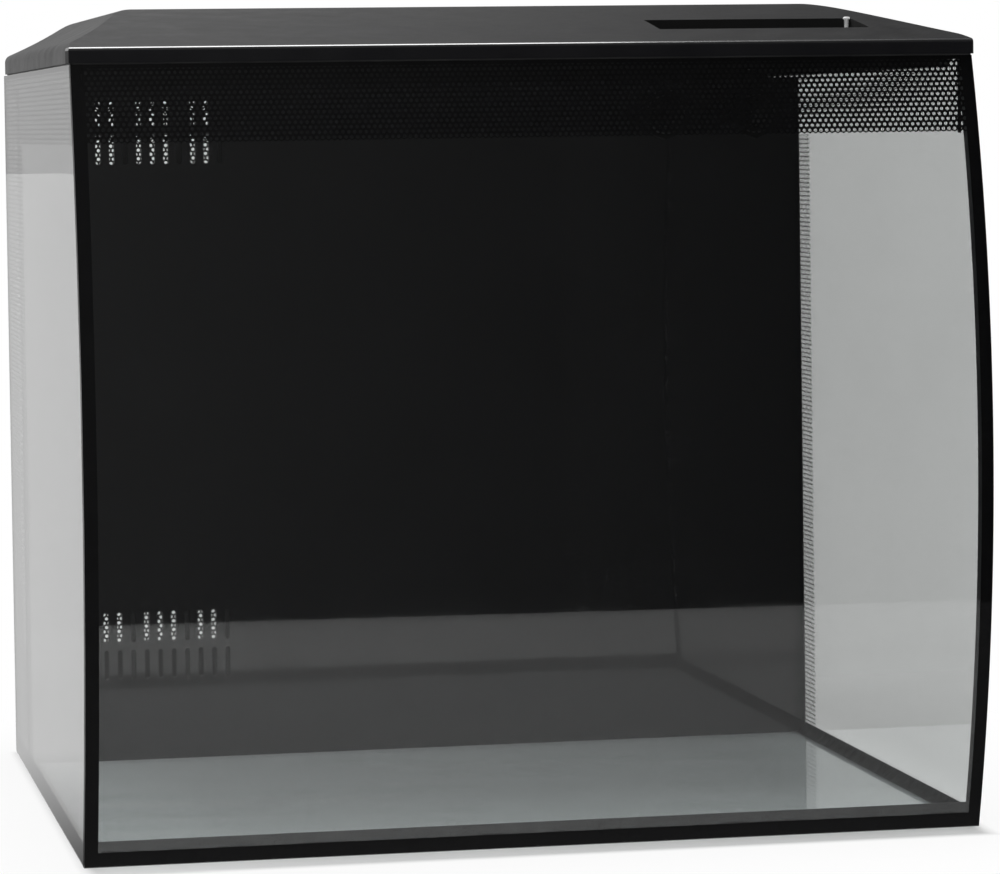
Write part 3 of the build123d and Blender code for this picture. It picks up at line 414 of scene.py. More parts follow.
links.new(real.outputs["Geometry"], weld.inputs["Geometry"])
coat = nodes.new("GeometryNodeSetMaterial")
links.new(weld.outputs["Geometry"], coat.inputs["Geometry"])
links.new(given.outputs["Finish"], coat.inputs["Material"])
links.new(coat.outputs["Geometry"], result.inputs["Geometry"])


STRIP_STEP = 0.012


def bow_y(z):
    """Depth of the print on the bowed pane at a height."""
    return BOW_Y - math.sqrt(BOW_RADIUS ** 2 - (z - MIDDLE_Z) ** 2)


def print_piece(name, areas, strips, place_of, cell):
    """Film of dotted areas and solid strips, both in flat sizes, laid on a pane by place_of."""
    verts, faces = [], []
    for low_u, high_u, low_v, high_v in areas:
        columns = max(1, int((high_u - low_u) / PITCH))
        rows = max(1, int((high_v - low_v) / ROW_PITCH))
        film = run_tree(name + "_dots", film_tree, film_keys, {
            "Cell": cell, "Columns": columns, "Rows": rows,
            "Column Pitch": PITCH, "Row Pitch": ROW_PITCH, "Finish": enamel})
        middle_u = (low_u + high_u) / 2 - PITCH / 4
        middle_v = (low_v + high_v) / 2
        first = len(verts)
        verts += [(v.co.x + middle_u, v.co.y + middle_v) for v in film.data.vertices]
        faces += [[first + index for index in face.vertices] for face in film.data.polygons]
        bpy.data.objects.remove(film)
    for low_u, high_u, low_v, high_v in strips:
        steps = max(1, round((high_v - low_v) / STRIP_STEP))
        first = len(verts)
        for k in range(steps + 1):
            v = low_v + (high_v - low_v) * k / steps
            verts += [(low_u, v), (high_u, v)]
        faces += [(low, low + 1, low + 3, low + 2) for low in range(first, first + 2 * steps, 2)]
    piece = mesh_object(name, [place_of(u, v) for u, v in verts], faces, enamel)
    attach(piece, "tank")
    return piece


round_cell = dot_cell(12, DOT_RADIUS)
open_cell = dot_cell(12, DOT_RADIUS * 1.32)
hex_cell = dot_cell(6, DOT_RADIUS * 1.1)
HALF_WIDTH = 0.205
LEFT_BORDER, RIGHT_BORDER, LOW_BORDER, TOP_BORDER = 0.0063, 0.0045, 0.0068, 0.0022
FRONT_FOOT = 0.0004
SIDE_FRONT_Y, SIDE_FRONT_LAP = -0.1615, 0.004
STRIP_FRONT_Y, STRIP_FOOT = 0.0952, 0.004
BACK_CLEAR = 0.001
PLAIN_BACK_TOP = 0.053
BACK_TOP_BORDER = 0.012
LEFT_U, RIGHT_U = LEFT_BORDER - HALF_WIDTH, HALF_WIDTH - RIGHT_BORDER
print_piece("print_front", [(LEFT_U - PITCH, RIGHT_U + PITCH, BAND_LOW, PANE_TOP)],
            [(-HALF_WIDTH, LEFT_U, FRONT_FOOT, PANE_TOP), (RIGHT_U, HALF_WIDTH, FRONT_FOOT, PANE_TOP),
             (LEFT_U, RIGHT_U, FRONT_FOOT, LOW_BORDER),
             (LEFT_U, RIGHT_U, PANE_TOP - TOP_BORDER, PANE_TOP)],
            lambda u, v: (min(max(u, -HALF_WIDTH), HALF_WIDTH), bow_y(v), v), round_cell)
for name, sign in (("print_left", -1), ("print_right", 1)):
    depth = sign * (INNER_X + PRINT_DEPTH)
    print_piece(name, [(SIDE_FRONT_Y, INNER_BACK_Y, BAND_LOW, PANE_TOP),
                       (STRIP_FRONT_Y, INNER_BACK_Y, STRIP_FOOT, BAND_LOW)],
                [(SIDE_FRONT_Y - SIDE_FRONT_LAP, SIDE_FRONT_Y + PITCH / 2, BAND_LOW, PANE_TOP),
                 (INNER_BACK_Y - PITCH, INNER_BACK_Y - BACK_CLEAR, BACK_CLEAR, PANE_TOP),
                 (SIDE_FRONT_Y, INNER_BACK_Y - BACK_CLEAR, PANE_TOP - TOP_BORDER, PANE_TOP)],
                lambda u, v: (depth, u, v), open_cell)
for name, low_v, high_v in (("print_back_low", PLAIN_BACK_TOP, MIDDLE_Z),
                            ("print_back_high", MIDDLE_Z, PANE_TOP)):
    strips = [(-HALF_WIDTH, -INNER_X + PITCH, low_v, high_v), (INNER_X - PITCH, HALF_WIDTH, low_v, high_v)]
    if high_v == PANE_TOP:
        strips.append((-HALF_WIDTH, HALF_WIDTH, PANE_TOP - BACK_TOP_BORDER, PANE_TOP))
    if low_v == PLAIN_BACK_TOP:
        strips.append((-HALF_WIDTH, HALF_WIDTH, BACK_CLEAR, PLAIN_BACK_TOP + PITCH / 2))
    print_piece(name, [(-INNER_X, INNER_X, low_v, high_v)], strips,
                lambda u, v: (u, INNER_BACK_Y + PRINT_DEPTH, v), hex_cell)
for cell in (round_cell, open_cell, hex_cell):
    bpy.data.objects.remove(cell)

# Enamel on the ground edges of the bowed pane: it runs down both sides and along the top, so
# that no light enters there, and it laps over the front seams.
EDGE_PROUD = 0.00005
EDGE_STEPS = 40
SEAM_COVER = 0.001
verts, faces = [], []
for x in (-HALF_WIDTH - EDGE_PROUD, HALF_WIDTH + EDGE_PROUD):
    first = len(verts)
    for k in range(EDGE_STEPS + 1):
        z = GLASS_TOP * k / EDGE_STEPS
        inner_y = bow_y(z) + PRINT_DEPTH
        verts += [(x, inner_y - PANE_THICKNESS, z), (x, inner_y + SEAM_COVER, z)]
    for k in range(EDGE_STEPS):
        low = first + 2 * k
        quad = (low, low + 1, low + 3, low + 2)
        faces.append(quad if x > 0 else quad[::-1])
first = len(verts)
top_y = bow_y(GLASS_TOP) + PRINT_DEPTH
rim = ((-HALF_WIDTH, top_y - PANE_THICKNESS), (HALF_WIDTH, top_y - PANE_THICKNESS),
       (HALF_WIDTH, top_y), (-HALF_WIDTH, top_y))
verts += [(x, y, GLASS_TOP + EDGE_PROUD) for x, y in rim]
faces.append((first, first + 1, first + 2, first + 3))
edge_print = mesh_object("print_front_edge", verts, faces, enamel)
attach(edge_print, "tank")

# Seams: black silicone squeezed into the joints and drawn off by hand, so its face is a
# little uneven and soft in shine.
silicone, tree, surface = material("black_silicone")
tint(tree, surface, (0.008, 0.008, 0.009), (0.022, 0.022, 0.023), cloudy(tree, 90.0, 0.0, 1.0))
tree.links.new(cloudy(tree, 120.0, 0.28, 0.5), surface.inputs["Roughness"])
bump(tree, surface, cloudy(tree, 160.0, 0.0, 1.0, 0.4), 0.5, 0.0006)
for seam in ("floor_seam", "front_seams", "back_seams", "partition_seams"):
    dress("silicone_" + seam, silicone)

# Smear: the ragged upper edge that a finger leaves on the silicone, along the foot of the front
# pane and a little above its printed border.
SMEAR_STEPS = 320
SMEAR_LIFT = 0.0011
SMEAR_FOOT = LOW_BORDER - 0.001
verts, faces = [], []
for k in range(SMEAR_STEPS + 1):
    x = LEFT_U + (RIGHT_U - LEFT_U) * k / SMEAR_STEPS
    ragged = noise.noise(Vector((x * 60, 0.3, 0))) + 0.6 * noise.noise(Vector((x * 240, 4.1, 0)))
    top = LOW_BORDER + SMEAR_LIFT * max(0.0, ragged)
    verts += [(x, bow_y(z) + PRINT_DEPTH, z) for z in (SMEAR_FOOT, top)]
    if k:
        faces.append((2 * k - 2, 2 * k, 2 * k + 1, 2 * k - 1))
smear = mesh_object("silicone_smear", verts, faces, silicone)
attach(smear, "tank")

# Partition: a black acrylic sheet with a mirror-like face, which a fine haze and a slight
# waviness keep from being perfect.
acrylic, tree, surface = material("black_acrylic")
tint(tree, surface, (0.0025, 0.0025, 0.003), (0.0045, 0.0045, 0.0052), cloudy(tree, 14.0, 0.0, 1.0))
tree.links.new(cloudy(tree, 22.0, 0.02, 0.07), surface.inputs["Roughness"])
bump(tree, surface, cloudy(tree, 7.0, 0.0, 1.0, 0.5), 0.15, 0.0006)
dress("partition", acrylic)

# Fascia of the lid: the same gloss, moulded, with faint wipe marks. Its returns round the
# corners are duller, and its upper edge is polished.
RETURN_X, RETURN_ROUGHNESS = (0.2050, 0.2056), 0.7
POLISHED_Z = (0.3589, 0.3593)
fascia, tree, surface = material("gloss_fascia")
tint(tree, surface, (0.004, 0.004, 0.005), (0.008, 0.008, 0.009), cloudy(tree, 30.0, 0.0, 1.0))
at = place_parts(tree)
on_return = ramp(tree, math_node(tree, "ABSOLUTE", at["X"]), *RETURN_X, 0.0, 1.0)
wiped = cloudy(tree, 40.0, 0.06, 0.16)
tree.links.new(ramp(tree, on_return, 0.0, 1.0, wiped, RETURN_ROUGHNESS), surface.inputs["Roughness"])
surface.inputs["Coat IOR"].default_value = 2.5
surface.inputs["Coat Roughness"].default_value = 0.14
tree.links.new(ramp(tree, at["Z"], *POLISHED_Z, 0.0, 1.0), surface.inputs["Coat Weight"])
dress("lid_front_trim", fascia)

# Moulded parts: plastic with a fine spark-eroded grain, cloudy in shade and shine. The lid's
# shell is the first of them.
GRAIN_SCALE, GRAIN_DEPTH = 2600.0, 0.00012


def moulded(name, dark, light, low_roughness, high_roughness, grain, specular=0.5):
    """Moulded plastic between two colours and two roughnesses."""
    made, tree, surface = material(name)
    tint(tree, surface, dark, light, cloudy(tree, 35.0, 0.0, 1.0))
    tree.links.new(cloudy(tree, 55.0, low_roughness, high_roughness), surface.inputs["Roughness"])
    surface.inputs["Specular IOR Level"].default_value = specular
    bump(tree, surface, cloudy(tree, GRAIN_SCALE, 0.0, 1.0, 0.35), grain, GRAIN_DEPTH)
    return made


lid_skin = moulded("lid_skin", (0.005, 0.005, 0.0056), (0.009, 0.009, 0.0098), 0.36, 0.46, 0.5)
dress("lid_shell", lid_skin)

# The feeding recess, 99 x 32 mm, is moulded matt, and inside its outline the shell's colour is
# darkened to near black as painted shade; the door lies in it.
WELL_LOW, WELL_HIGH = (0.0677, -0.1329), (0.1673, -0.1003)
WELL_SHADE_COLOUR, WELL_ROUGHNESS = (0.002, 0.002, 0.002, 1), 0.95
tree = lid_skin.node_tree
surface = tree.nodes["Principled BSDF"]
at = place_parts(tree)
inside = None
for axis, label in enumerate("XY"):
    for operation, limit in (("GREATER_THAN", WELL_LOW[axis]), ("LESS_THAN", WELL_HIGH[axis])):
        part = math_node(tree, operation, at[label], limit)
        inside = part if inside is None else math_node(tree, "MULTIPLY", inside, part)
skin_colour = surface.inputs["Base Color"].links[0].from_socket
# Painted shade: the colour inside the recess goes near black.
well_shade_mix = tree.nodes.new("ShaderNodeMix")
well_shade_mix.data_type = "RGBA"
well_shade_mix.inputs["B"].default_value = WELL_SHADE_COLOUR
tree.links.new(skin_colour, well_shade_mix.inputs["A"])
tree.links.new(inside, well_shade_mix.inputs["Factor"])
tree.links.new(well_shade_mix.outputs["Result"], surface.inputs["Base Color"])
skin_roughness = surface.inputs["Roughness"].links[0].from_socket
tree.links.new(ramp(tree, inside, 0.0, 1.0, skin_roughness, WELL_ROUGHNESS), surface.inputs["Roughness"])

# Front edge of the lid, 1.2 mm round: it came polished from the mould, and the lamp overhead
# lies along it.
FRONT_EDGE_Y = (-0.1676, -0.1672)
surface.inputs["Coat IOR"].default_value = 3.6
surface.inputs["Coat Roughness"].default_value = 0.16
tree.links.new(ramp(tree, at["Y"], *FRONT_EDGE_Y, 1.0, 0.0), surface.inputs["Coat Weight"])

# The other moulded parts: the door is matt black plastic, darkened further as painted shade of its
# recess, the frame and the nozzles are matt and very dark, the filter and the pump are satin, the
# rubber is dull, and the rotor and the hose are paler. The lamp's board is white and its chips yellow.
# Painted shade: the door is darker than the shell because it lies in the shadowed recess.
door_skin_painted_shade = moulded("door_skin_painted_shade", (0.002, 0.002, 0.002), (0.004, 0.004, 0.004), 0.8, 0.95, 0.4, 0.15)
dress("feeding_door", door_skin_painted_shade)
frame_skin = moulded("frame_skin", (0.003, 0.003, 0.003), (0.006, 0.006, 0.006), 0.6, 0.75, 0.4, 0.25)
dress("lid_frame", frame_skin)
filter_skin = moulded("filter_skin", (0.012, 0.012, 0.013), (0.02, 0.02, 0.021), 0.35, 0.55, 0.35)
for node in ("foam_chamber_wall", "media_chamber_wall", "pump_chamber_wall", "media_shelf",
             "foam_lifter", "intake_strainer"):
    dress(node, filter_skin)
pump_skin = moulded("pump_skin", (0.012, 0.012, 0.014), (0.022, 0.022, 0.025), 0.3, 0.45, 0.5)
for node in ("pump_housing", "pump_cover", "return_manifold", "lamp_housing", "lamp_socket"):
    dress(node, pump_skin)
nozzle_skin = moulded("nozzle_skin", (0.0015, 0.0015, 0.0015), (0.003, 0.003, 0.003), 0.6, 0.75, 0.3, 0.12)
for node in ("nozzle_locknuts", "nozzle_left", "nozzle_right"):
    dress(node, nozzle_skin)
dress("pump_impeller", moulded("rotor_skin", (0.06, 0.06, 0.065), (0.1, 0.1, 0.105), 0.3, 0.5, 0.3))
rubber = moulded("soft_rubber", (0.012, 0.012, 0.012), (0.03, 0.03, 0.03), 0.55, 0.8, 0.6)
for node in ("pump_shaft_bushes", "pump_suction_feet", "pump_cable_gland", "lamp_gasket"):
    dress(node, rubber)
dress("return_hose", moulded("hose_rubber", (0.03, 0.032, 0.032), (0.06, 0.062, 0.062), 0.3, 0.45, 0.2))
dress("lamp_board", moulded("board_white", (0.7, 0.7, 0.68), (0.8, 0.8, 0.78), 0.25, 0.4, 0.1))
dress("lamp_chips", moulded("chip_yellow", (0.75, 0.6, 0.16), (0.85, 0.72, 0.3), 0.2, 0.35, 0.1))

# Strip under the lid's skirt: black rubber finish, 2 mm wide, round the front and both sides.
# It is a dark strip put in the narrow gap between the glass and the lid as painted shade.
GAP_STRIP_OUT, GAP_STRIP_WIDE = (0.20535, 0.1682), 0.002
GAP_STRIP_LOW, GAP_STRIP_HIGH = 0.35305, 0.35355
GAP_STRIP_BACK = 0.170
GAP_STRIP_ROUND = 0.003
GAP_STRIP_CORNER_STEPS = 6
verts, faces = [], []
path = [(-GAP_STRIP_OUT[0], GAP_STRIP_BACK, -1.0, 0.0)]
for sign in (-1, 1):
    for k in range(GAP_STRIP_CORNER_STEPS + 1):
        swing = math.pi / 2 * (k if sign < 0 else GAP_STRIP_CORNER_STEPS - k) / GAP_STRIP_CORNER_STEPS
        out_x, out_y = sign * math.cos(swing), -math.sin(swing)
        x = sign * (GAP_STRIP_OUT[0] - GAP_STRIP_ROUND) + GAP_STRIP_ROUND * out_x
        y = GAP_STRIP_ROUND - GAP_STRIP_OUT[1] + GAP_STRIP_ROUND * out_y
        path.append((x, y, out_x, out_y))
path.append((GAP_STRIP_OUT[0], GAP_STRIP_BACK, 1.0, 0.0))
for x, y, out_x, out_y in path:
    inner_x, inner_y = x - GAP_STRIP_WIDE * out_x, y - GAP_STRIP_WIDE * out_y
    verts += [(x, y, GAP_STRIP_LOW), (x, y, GAP_STRIP_HIGH),
              (inner_x, inner_y, GAP_STRIP_HIGH), (inner_x, inner_y, GAP_STRIP_LOW)]
for k in range(len(path) - 1):
    for side in range(4):
        a, b = 4 * k + side, 4 * k + (side + 1) % 4
        faces.append((a, a + 4, b + 4, b))
faces += [(0, 1, 2, 3), tuple(len(verts) - 4 + side for side in (3, 2, 1, 0))]
# Painted shade: this dark strip fills the gap where only shade lies.
gap_shade_strip = mesh_object("lid_seal", verts, faces, rubber)
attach(gap_shade_strip, "lid")

# Bright metal: the hinge pin, the pump's shaft, the screws and the clip's body, which a more
# detailed clip then replaces.
steel, tree, surface = material("bright_steel")
surface.inputs["Metallic"].default_value = 1.0
tint(tree, surface, (0.55, 0.55, 0.55), (0.72, 0.72, 0.72), cloudy(tree, 300.0, 0.0, 1.0))
tree.links.new(cloudy(tree, 500.0, 0.12, 0.3), surface.inputs["Roughness"])
for node in ("door_spring_clip", "feeding_door_pin", "pump_shaft", "lid_frame_screws", "lamp_screws"):
    dress(node, steel)

# Clip: a bar, 2.2 x 1.4 mm, with a wider rounded cap, whose near-white colour is painted reflection
# standing in for chrome. Its form gives the half width, the half depth and the height of each ring in
# millimetres.
CLIP_SIDES = 20
CLIP_FORM = ((1.05, 0.65, 0.0), (1.1, 0.7, 0.3), (1.1, 0.7, 3.9), (1.65, 0.78, 4.15),
             (1.7, 0.8, 4.3), (1.7, 0.8, 4.9), (1.45, 0.66, 5.2), (0.8, 0.4, 5.3))
clip_low, clip_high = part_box("door_spring_clip")
clip_x, clip_y = (clip_low.x + clip_high.x) / 2, (clip_low.y + clip_high.y) / 2
verts = [(clip_x, clip_y, clip_low.z)]
for half_x, half_y, up in CLIP_FORM:
    for k in range(CLIP_SIDES):
        swing = 2 * math.pi * k / CLIP_SIDES
        verts.append((clip_x + half_x / 1000 * math.cos(swing), clip_y + half_y / 1000 * math.sin(swing),
                      clip_low.z + up / 1000))
verts.append((clip_x, clip_y, clip_low.z + CLIP_FORM[-1][2] / 1000))
faces = []
for k in range(CLIP_SIDES):
    after = (k + 1) % CLIP_SIDES
    faces.append((0, 1 + after, 1 + k))
    for ring in range(len(CLIP_FORM) - 1):
        low, high = 1 + ring * CLIP_SIDES, 1 + (ring + 1) * CLIP_SIDES
        faces.append((low + k, low + after, high + after, high + k))
    last = 1 + (len(CLIP_FORM) - 1) * CLIP_SIDES
    faces.append((last + k, last + after, len(verts) - 1))
# Painted reflection: a pale, nearly non-metal colour stands in for the chrome's shine.
clip_painted_shine, tree, surface = material("clip_painted_shine")
surface.inputs["Metallic"].default_value = 0.05
tint(tree, surface, (0.80, 0.80, 0.80), (0.95, 0.95, 0.95), cloudy(tree, 400.0, 0.0, 1.0))
tree.links.new(cloudy(tree, 500.0, 0.25, 0.4), surface.inputs["Roughness"])
clip = mesh_object("spring_clip", verts, faces, clip_painted_shine)
clip.data.shade_smooth()
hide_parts("door_spring_clip")
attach(clip, "lid")

# Lens of the lamp: clear acrylic with a faint cold tint, frosted so that the light chips blur
# behind it.
lens, tree, surface = material("frosted_lens")
surface.inputs["Base Color"].default_value = (0.9, 0.92, 0.93, 1)
surface.inputs["Transmission Weight"].default_value = 0.85
tree.links.new(cloudy(tree, 200.0, 0.3, 0.45), surface.inputs["Roughness"])
dress("lamp_lens", lens)


def pores(tree, scale):
    """Distance from the nearest cell's middle, as an output socket."""
    place = tree.nodes.new("ShaderNodeTexCoord")
    cells = tree.nodes.new("ShaderNodeTexVoronoi")
    cells.inputs["Scale"].default_value = scale
    tree.links.new(place.outputs["Object"], cells.inputs["Vector"])
    return cells.outputs["Distance"]


# Foam block: coarse open-cell filter foam, 74 x 57 x 255 mm, with a bore for the lifter's stem.
# The larger cells are pits in the mesh, the finer ones pores in the material with painted shade inside.
PORE_SCALE = 620.0
foam_skin, tree, surface = material("filter_foam")
# The walls keep the foam's dark grey; the pores' middles are darkened as painted shade.
pore_walls_and_shade = ramp(tree, pores(tree, PORE_SCALE), 0.15, 0.75, 0.0, 1.0)
tint(tree, surface, (0.006, 0.006, 0.007), (0.050, 0.052, 0.056), pore_walls_and_shade)
tree.links.new(cloudy(tree, 80.0, 0.85, 1.0), surface.inputs["Roughness"])
bump(tree, surface, pores(tree, PORE_SCALE), 0.9, 0.0009)
FOAM_BORE, FOAM_STEM = 0.0043, (-0.058, 0.1545)
FOAM_ROUND = 0.0025
FOAM_AROUND, FOAM_UP, FOAM_ACROSS, FOAM_BORE_UP = 208, 200, 20, 40
FOAM_CELL, FOAM_PIT, PIT_REACH = 0.0034, 0.0016, 0.55
foam_low, foam_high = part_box("foam_block")


def foam_outline(share):
    """Point of the block's rounded outline at a share of the way round."""
    half_x, half_y = (foam_high.x - foam_low.x) / 2, (foam_high.y - foam_low.y) / 2
    middle_x, middle_y = (foam_low.x + foam_high.x) / 2, (foam_low.y + foam_high.y) / 2
    swing = 2 * math.pi * share
    reach = 1 / max(abs(math.cos(swing)) / half_x, abs(math.sin(swing)) / half_y)
    x, y = reach * math.cos(swing), reach * math.sin(swing)
    core_x = min(max(x, FOAM_ROUND - half_x), half_x - FOAM_ROUND)
    core_y = min(max(y, FOAM_ROUND - half_y), half_y - FOAM_ROUND)
    off = Vector((x - core_x, y - core_y))
    if off.length > FOAM_ROUND:
        off = off.normalized() * FOAM_ROUND
    return middle_x + core_x + off.x, middle_y + core_y + off.y


verts, pitted = [], []
bore_from = FOAM_UP + FOAM_ACROSS
for k in range(FOAM_AROUND):
    out_x, out_y = foam_outline(k / FOAM_AROUND)
    swing = 2 * math.pi * k / FOAM_AROUND
    bore_x = FOAM_STEM[0] + FOAM_BORE * math.cos(swing)
    bore_y = FOAM_STEM[1] + FOAM_BORE * math.sin(swing)
    stations = ((out_x, out_y, foam_low.z), (out_x, out_y, foam_high.z),
                (bore_x, bore_y, foam_high.z), (bore_x, bore_y, foam_low.z), (out_x, out_y, foam_low.z))
    loop = []
    for start, end, steps in zip(stations, stations[1:], (FOAM_UP, FOAM_ACROSS, FOAM_BORE_UP, FOAM_ACROSS)):
        loop += [tuple(a + (b - a) * j / steps for a, b in zip(start, end)) for j in range(steps)]
    verts += loop
    pitted += [not bore_from <= j <= bore_from + FOAM_BORE_UP for j in range(len(loop))]
around = len(verts) // FOAM_AROUND
faces = []
for k in range(FOAM_AROUND):
    here, after = k * around, (k + 1) % FOAM_AROUND * around
    for j in range(around):
        up = (j + 1) % around
        faces.append((here + j, after + j, after + up, here + up))
foam = mesh_object("filter_foam_block", verts, faces, foam_skin)
normals = [v.normal.copy() for v in foam.data.vertices]
for v, normal, soft in zip(foam.data.vertices, normals, pitted):
    if soft:
        nearest = noise.voronoi(v.co / FOAM_CELL)[0][0]
        v.co -= normal * FOAM_PIT * max(0.0, 1.0 - nearest / PIT_REACH)
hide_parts("foam_block")
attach(foam, "foam")


# Net bags: two bags of nylon net, 75 x 63 mm in plan, drawn in unevenly by their filling. One
# holds carbon grains and one ceramic rings, in a layer under the net round a dark heart: carbon
# in the carbon bag, painted shade in the ring bag.
NET_PITCH, NET_THREAD, NET_INSET = 0.0036, 0.0006, 0.0008
NET_CORNER = 0.009
HEART_PITCH, HEART_CORNER = 0.004, NET_CORNER - 0.001
SLACK, SLACK_SCALE = 0.05, 45
MOST_GRAINS = 4e6
SMALLEST_GRAIN, LARGEST_GRAIN = 0.82, 1.0


def rounded_box(low, high, inset, corner, pitch):
    """Quad grid on a box with rounded edges, drawn in a little by its filling."""
    middle = [(low[axis] + high[axis]) / 2 for axis in range(3)]
    half = [(high[axis] - low[axis]) / 2 - inset for axis in range(3)]
    counts = [max(4, round(2 * size / pitch)) for size in half]
    verts, faces, known = [], [], {}

    def corner_index(place):
        if place not in known:
            at = [(2 * place[axis] / counts[axis] - 1) * half[axis] for axis in range(3)]
            core = [min(max(at[axis], corner - half[axis]), half[axis] - corner) for axis in range(3)]
            off = Vector([at[axis] - core[axis] for axis in range(3)])
            off = off.normalized() * corner
            point = Vector(core) + off
            drawn = noise.noise(Vector([point[axis] * SLACK_SCALE + 7 * middle[2] for axis in range(3)]))
            point *= 1 - SLACK * (0.5 + 0.5 * drawn)
            known[place] = len(verts)
            verts.append([middle[axis] + point[axis] for axis in range(3)])
        return known[place]

    for axis in range(3):
        first, second = (axis + 1) % 3, (axis + 2) % 3
        for end in (0, counts[axis]):
            for i in range(counts[first]):
                for j in range(counts[second]):
                    ring = []
                    for step_i, step_j in ((0, 0), (1, 0), (1, 1), (0, 1)):
                        place = [0, 0, 0]
                        place[axis], place[first], place[second] = end, i + step_i, j + step_j
                        ring.append(corner_index(tuple(place)))
                    faces.append(ring if end else ring[::-1])
    return verts, faces


fill_tree, fill_keys, given, result = geometry_tree("bag_filling", (
    ("Core", "NodeSocketObject"), ("Grain", "NodeSocketObject"), ("Apart", "NodeSocketFloat"),
    ("Seed", "NodeSocketInt"), ("Finish", "NodeSocketMaterial")))
nodes, links = fill_tree.nodes, fill_tree.links
core_shape = nodes.new("GeometryNodeObjectInfo")
links.new(given.outputs["Core"], core_shape.inputs["Object"])
scatter = nodes.new("GeometryNodeDistributePointsOnFaces")
scatter.distribute_method = "POISSON"
scatter.inputs["Density Max"].default_value = MOST_GRAINS
links.new(core_shape.outputs["Geometry"], scatter.inputs["Mesh"])
links.new(given.outputs["Apart"], scatter.inputs["Distance Min"])
links.new(given.outputs["Seed"], scatter.inputs["Seed"])
grain_shape = nodes.new("GeometryNodeObjectInfo")
links.new(given.outputs["Grain"], grain_shape.inputs["Object"])
turn_by = nodes.new("FunctionNodeRandomValue")
turn_by.data_type = "FLOAT_VECTOR"
turn_by.inputs["Max"].default_value = (math.tau, math.tau, math.tau)
size_by = nodes.new("FunctionNodeRandomValue")
size_by.data_type = "FLOAT"
for label, number in (("Min", SMALLEST_GRAIN), ("Max", LARGEST_GRAIN)):
    sockets = [socket for socket in size_by.inputs if socket.name == label and socket.type == "VALUE"]
    sockets[0].default_value = number
for random_node in (turn_by, size_by):
    links.new(given.outputs["Seed"], random_node.inputs["Seed"])
copies = nodes.new("GeometryNodeInstanceOnPoints")
links.new(scatter.outputs["Points"], copies.inputs["Points"])
links.new(grain_shape.outputs["Geometry"], copies.inputs["Instance"])
links.new([socket for socket in turn_by.outputs if socket.type == "VECTOR"][0], copies.inputs["Rotation"])
links.new([socket for socket in size_by.outputs if socket.type == "VALUE"][0], copies.inputs["Scale"])
real = nodes.new("GeometryNodeRealizeInstances")
links.new(copies.outputs["Instances"], real.inputs["Geometry"])
coat = nodes.new("GeometryNodeSetMaterial")
links.new(real.outputs["Geometry"], coat.inputs["Geometry"])
links.new(given.outputs["Finish"], coat.inputs["Material"])
links.new(coat.outputs["Geometry"], result.inputs["Geometry"])

# Finishes of the bags: dull nylon thread, sooty carbon with broken faces, and porous ceramic
# that is rough to the touch.
net_thread, tree, surface = material("net_thread")
tint(tree, surface, (0.014, 0.014, 0.015), (0.035, 0.035, 0.037), cloudy(tree, 400.0, 0.0, 1.0))
tree.links.new(cloudy(tree, 300.0, 0.4, 0.6), surface.inputs["Roughness"])
carbon, tree, surface = material("carbon_grains")
tint(tree, surface, (0.006, 0.006, 0.006), (0.03, 0.03, 0.031), cloudy(tree, 700.0, 0.0, 1.0))
tree.links.new(cloudy(tree, 900.0, 0.35, 0.8), surface.inputs["Roughness"])
bump(tree, surface, cloudy(tree, 2200.0, 0.0, 1.0), 0.6, 0.0003)
ceramic, tree, surface = material("ceramic_rings")
tint(tree, surface, (0.48, 0.42, 0.34), (0.72, 0.68, 0.60), cloudy(tree, 150.0, 0.0, 1.0))
tree.links.new(cloudy(tree, 300.0, 0.75, 0.95), surface.inputs["Roughness"])
bump(tree, surface, pores(tree, 1800.0), 0.5, 0.0003)


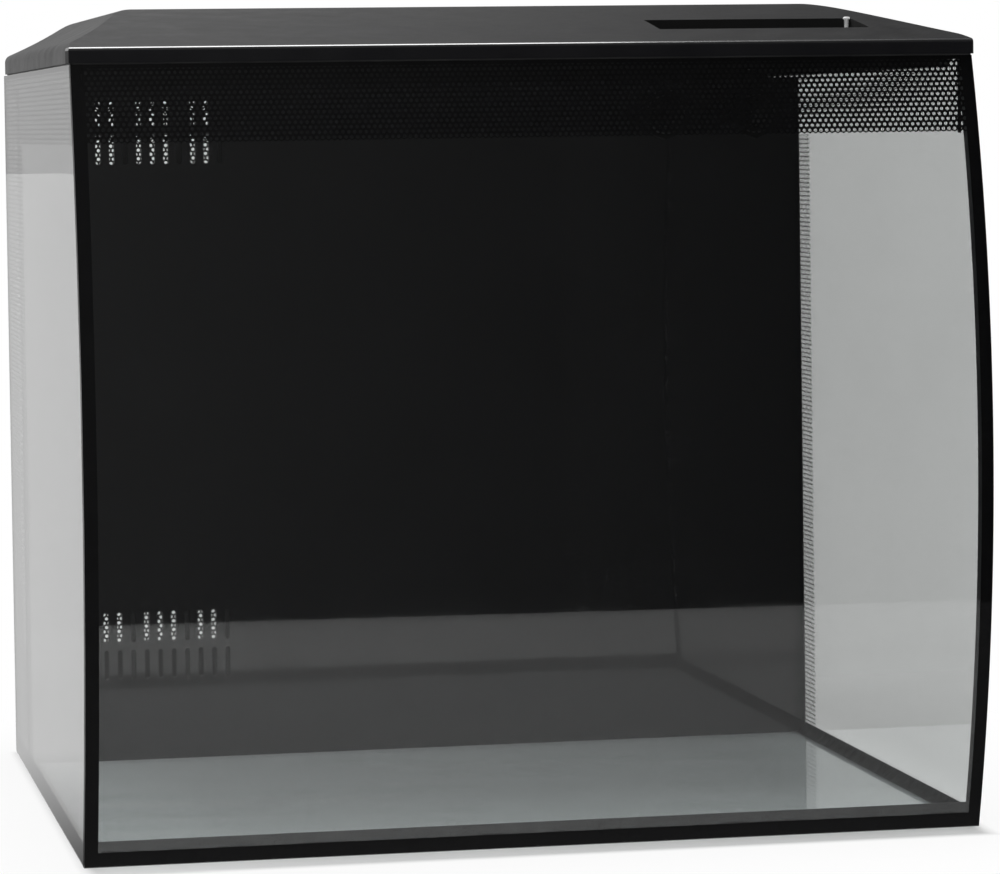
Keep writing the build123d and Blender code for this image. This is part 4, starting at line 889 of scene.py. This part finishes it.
def ring_grain():
    """Short ceramic ring, 11 mm across and 12 mm long, with a 5 mm hole."""
    sides = 12
    form = ((0.0055, -0.0056), (0.0055, 0.0056), (0.0050, 0.0060),
            (0.0025, 0.0060), (0.0025, -0.0060), (0.0050, -0.0060))
    verts = [(radius * math.cos(math.tau * k / sides), radius * math.sin(math.tau * k / sides), up)
             for k in range(sides) for radius, up in form]
    faces = [(k * 6 + j, (k + 1) % sides * 6 + j, (k + 1) % sides * 6 + (j + 1) % 6, k * 6 + (j + 1) % 6)
             for k in range(sides) for j in range(6)]
    return mesh_object("ring_grain", verts, faces, ceramic)


def carbon_grain():
    """Broken carbon grain, about 4 mm across."""
    made = bmesh.new()
    bmesh.ops.create_icosphere(made, subdivisions=1, radius=0.0021)
    verts = [(v.co.x, v.co.y * 0.8, v.co.z * (0.7 + 0.25 * noise.noise(v.co * 900))) for v in made.verts]
    faces = [[v.index for v in face.verts] for face in made.faces]
    made.free()
    return mesh_object("carbon_grain", verts, faces, carbon)


for node, name, grain, apart, deep, seed in (
        ("carbon_bag", "carbon", carbon_grain(), 0.0026, 0.0030, 3),
        ("ceramic_ring_bag", "ring", ring_grain(), 0.0088, 0.0090, 5)):
    low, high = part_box(node)
    verts, faces = rounded_box(low, high, deep, HEART_CORNER, HEART_PITCH)
    # In the ring bag the dark heart is painted shade, not ceramic.
    heart = mesh_object(name + "_heart", verts, faces, carbon if name == "carbon" else net_thread)
    filling = run_tree(name + "_filling", fill_tree, fill_keys, {
        "Core": heart, "Grain": grain, "Apart": apart, "Seed": seed,
        "Finish": carbon if name == "carbon" else ceramic})
    verts, faces = rounded_box(low, high, NET_INSET, NET_CORNER, NET_PITCH)
    net = mesh_object(name + "_net", verts, faces, net_thread)
    wires = net.modifiers.new("threads", "WIREFRAME")
    wires.thickness = NET_THREAD
    wires.use_even_offset = False
    shape = bpy.data.meshes.new_from_object(net.evaluated_get(bpy.context.evaluated_depsgraph_get()))
    net.modifiers.remove(wires)
    net.data = shape
    bpy.data.objects.remove(grain)
    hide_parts(node)
    for piece in (net, filling, heart):
        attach(piece, "tank")
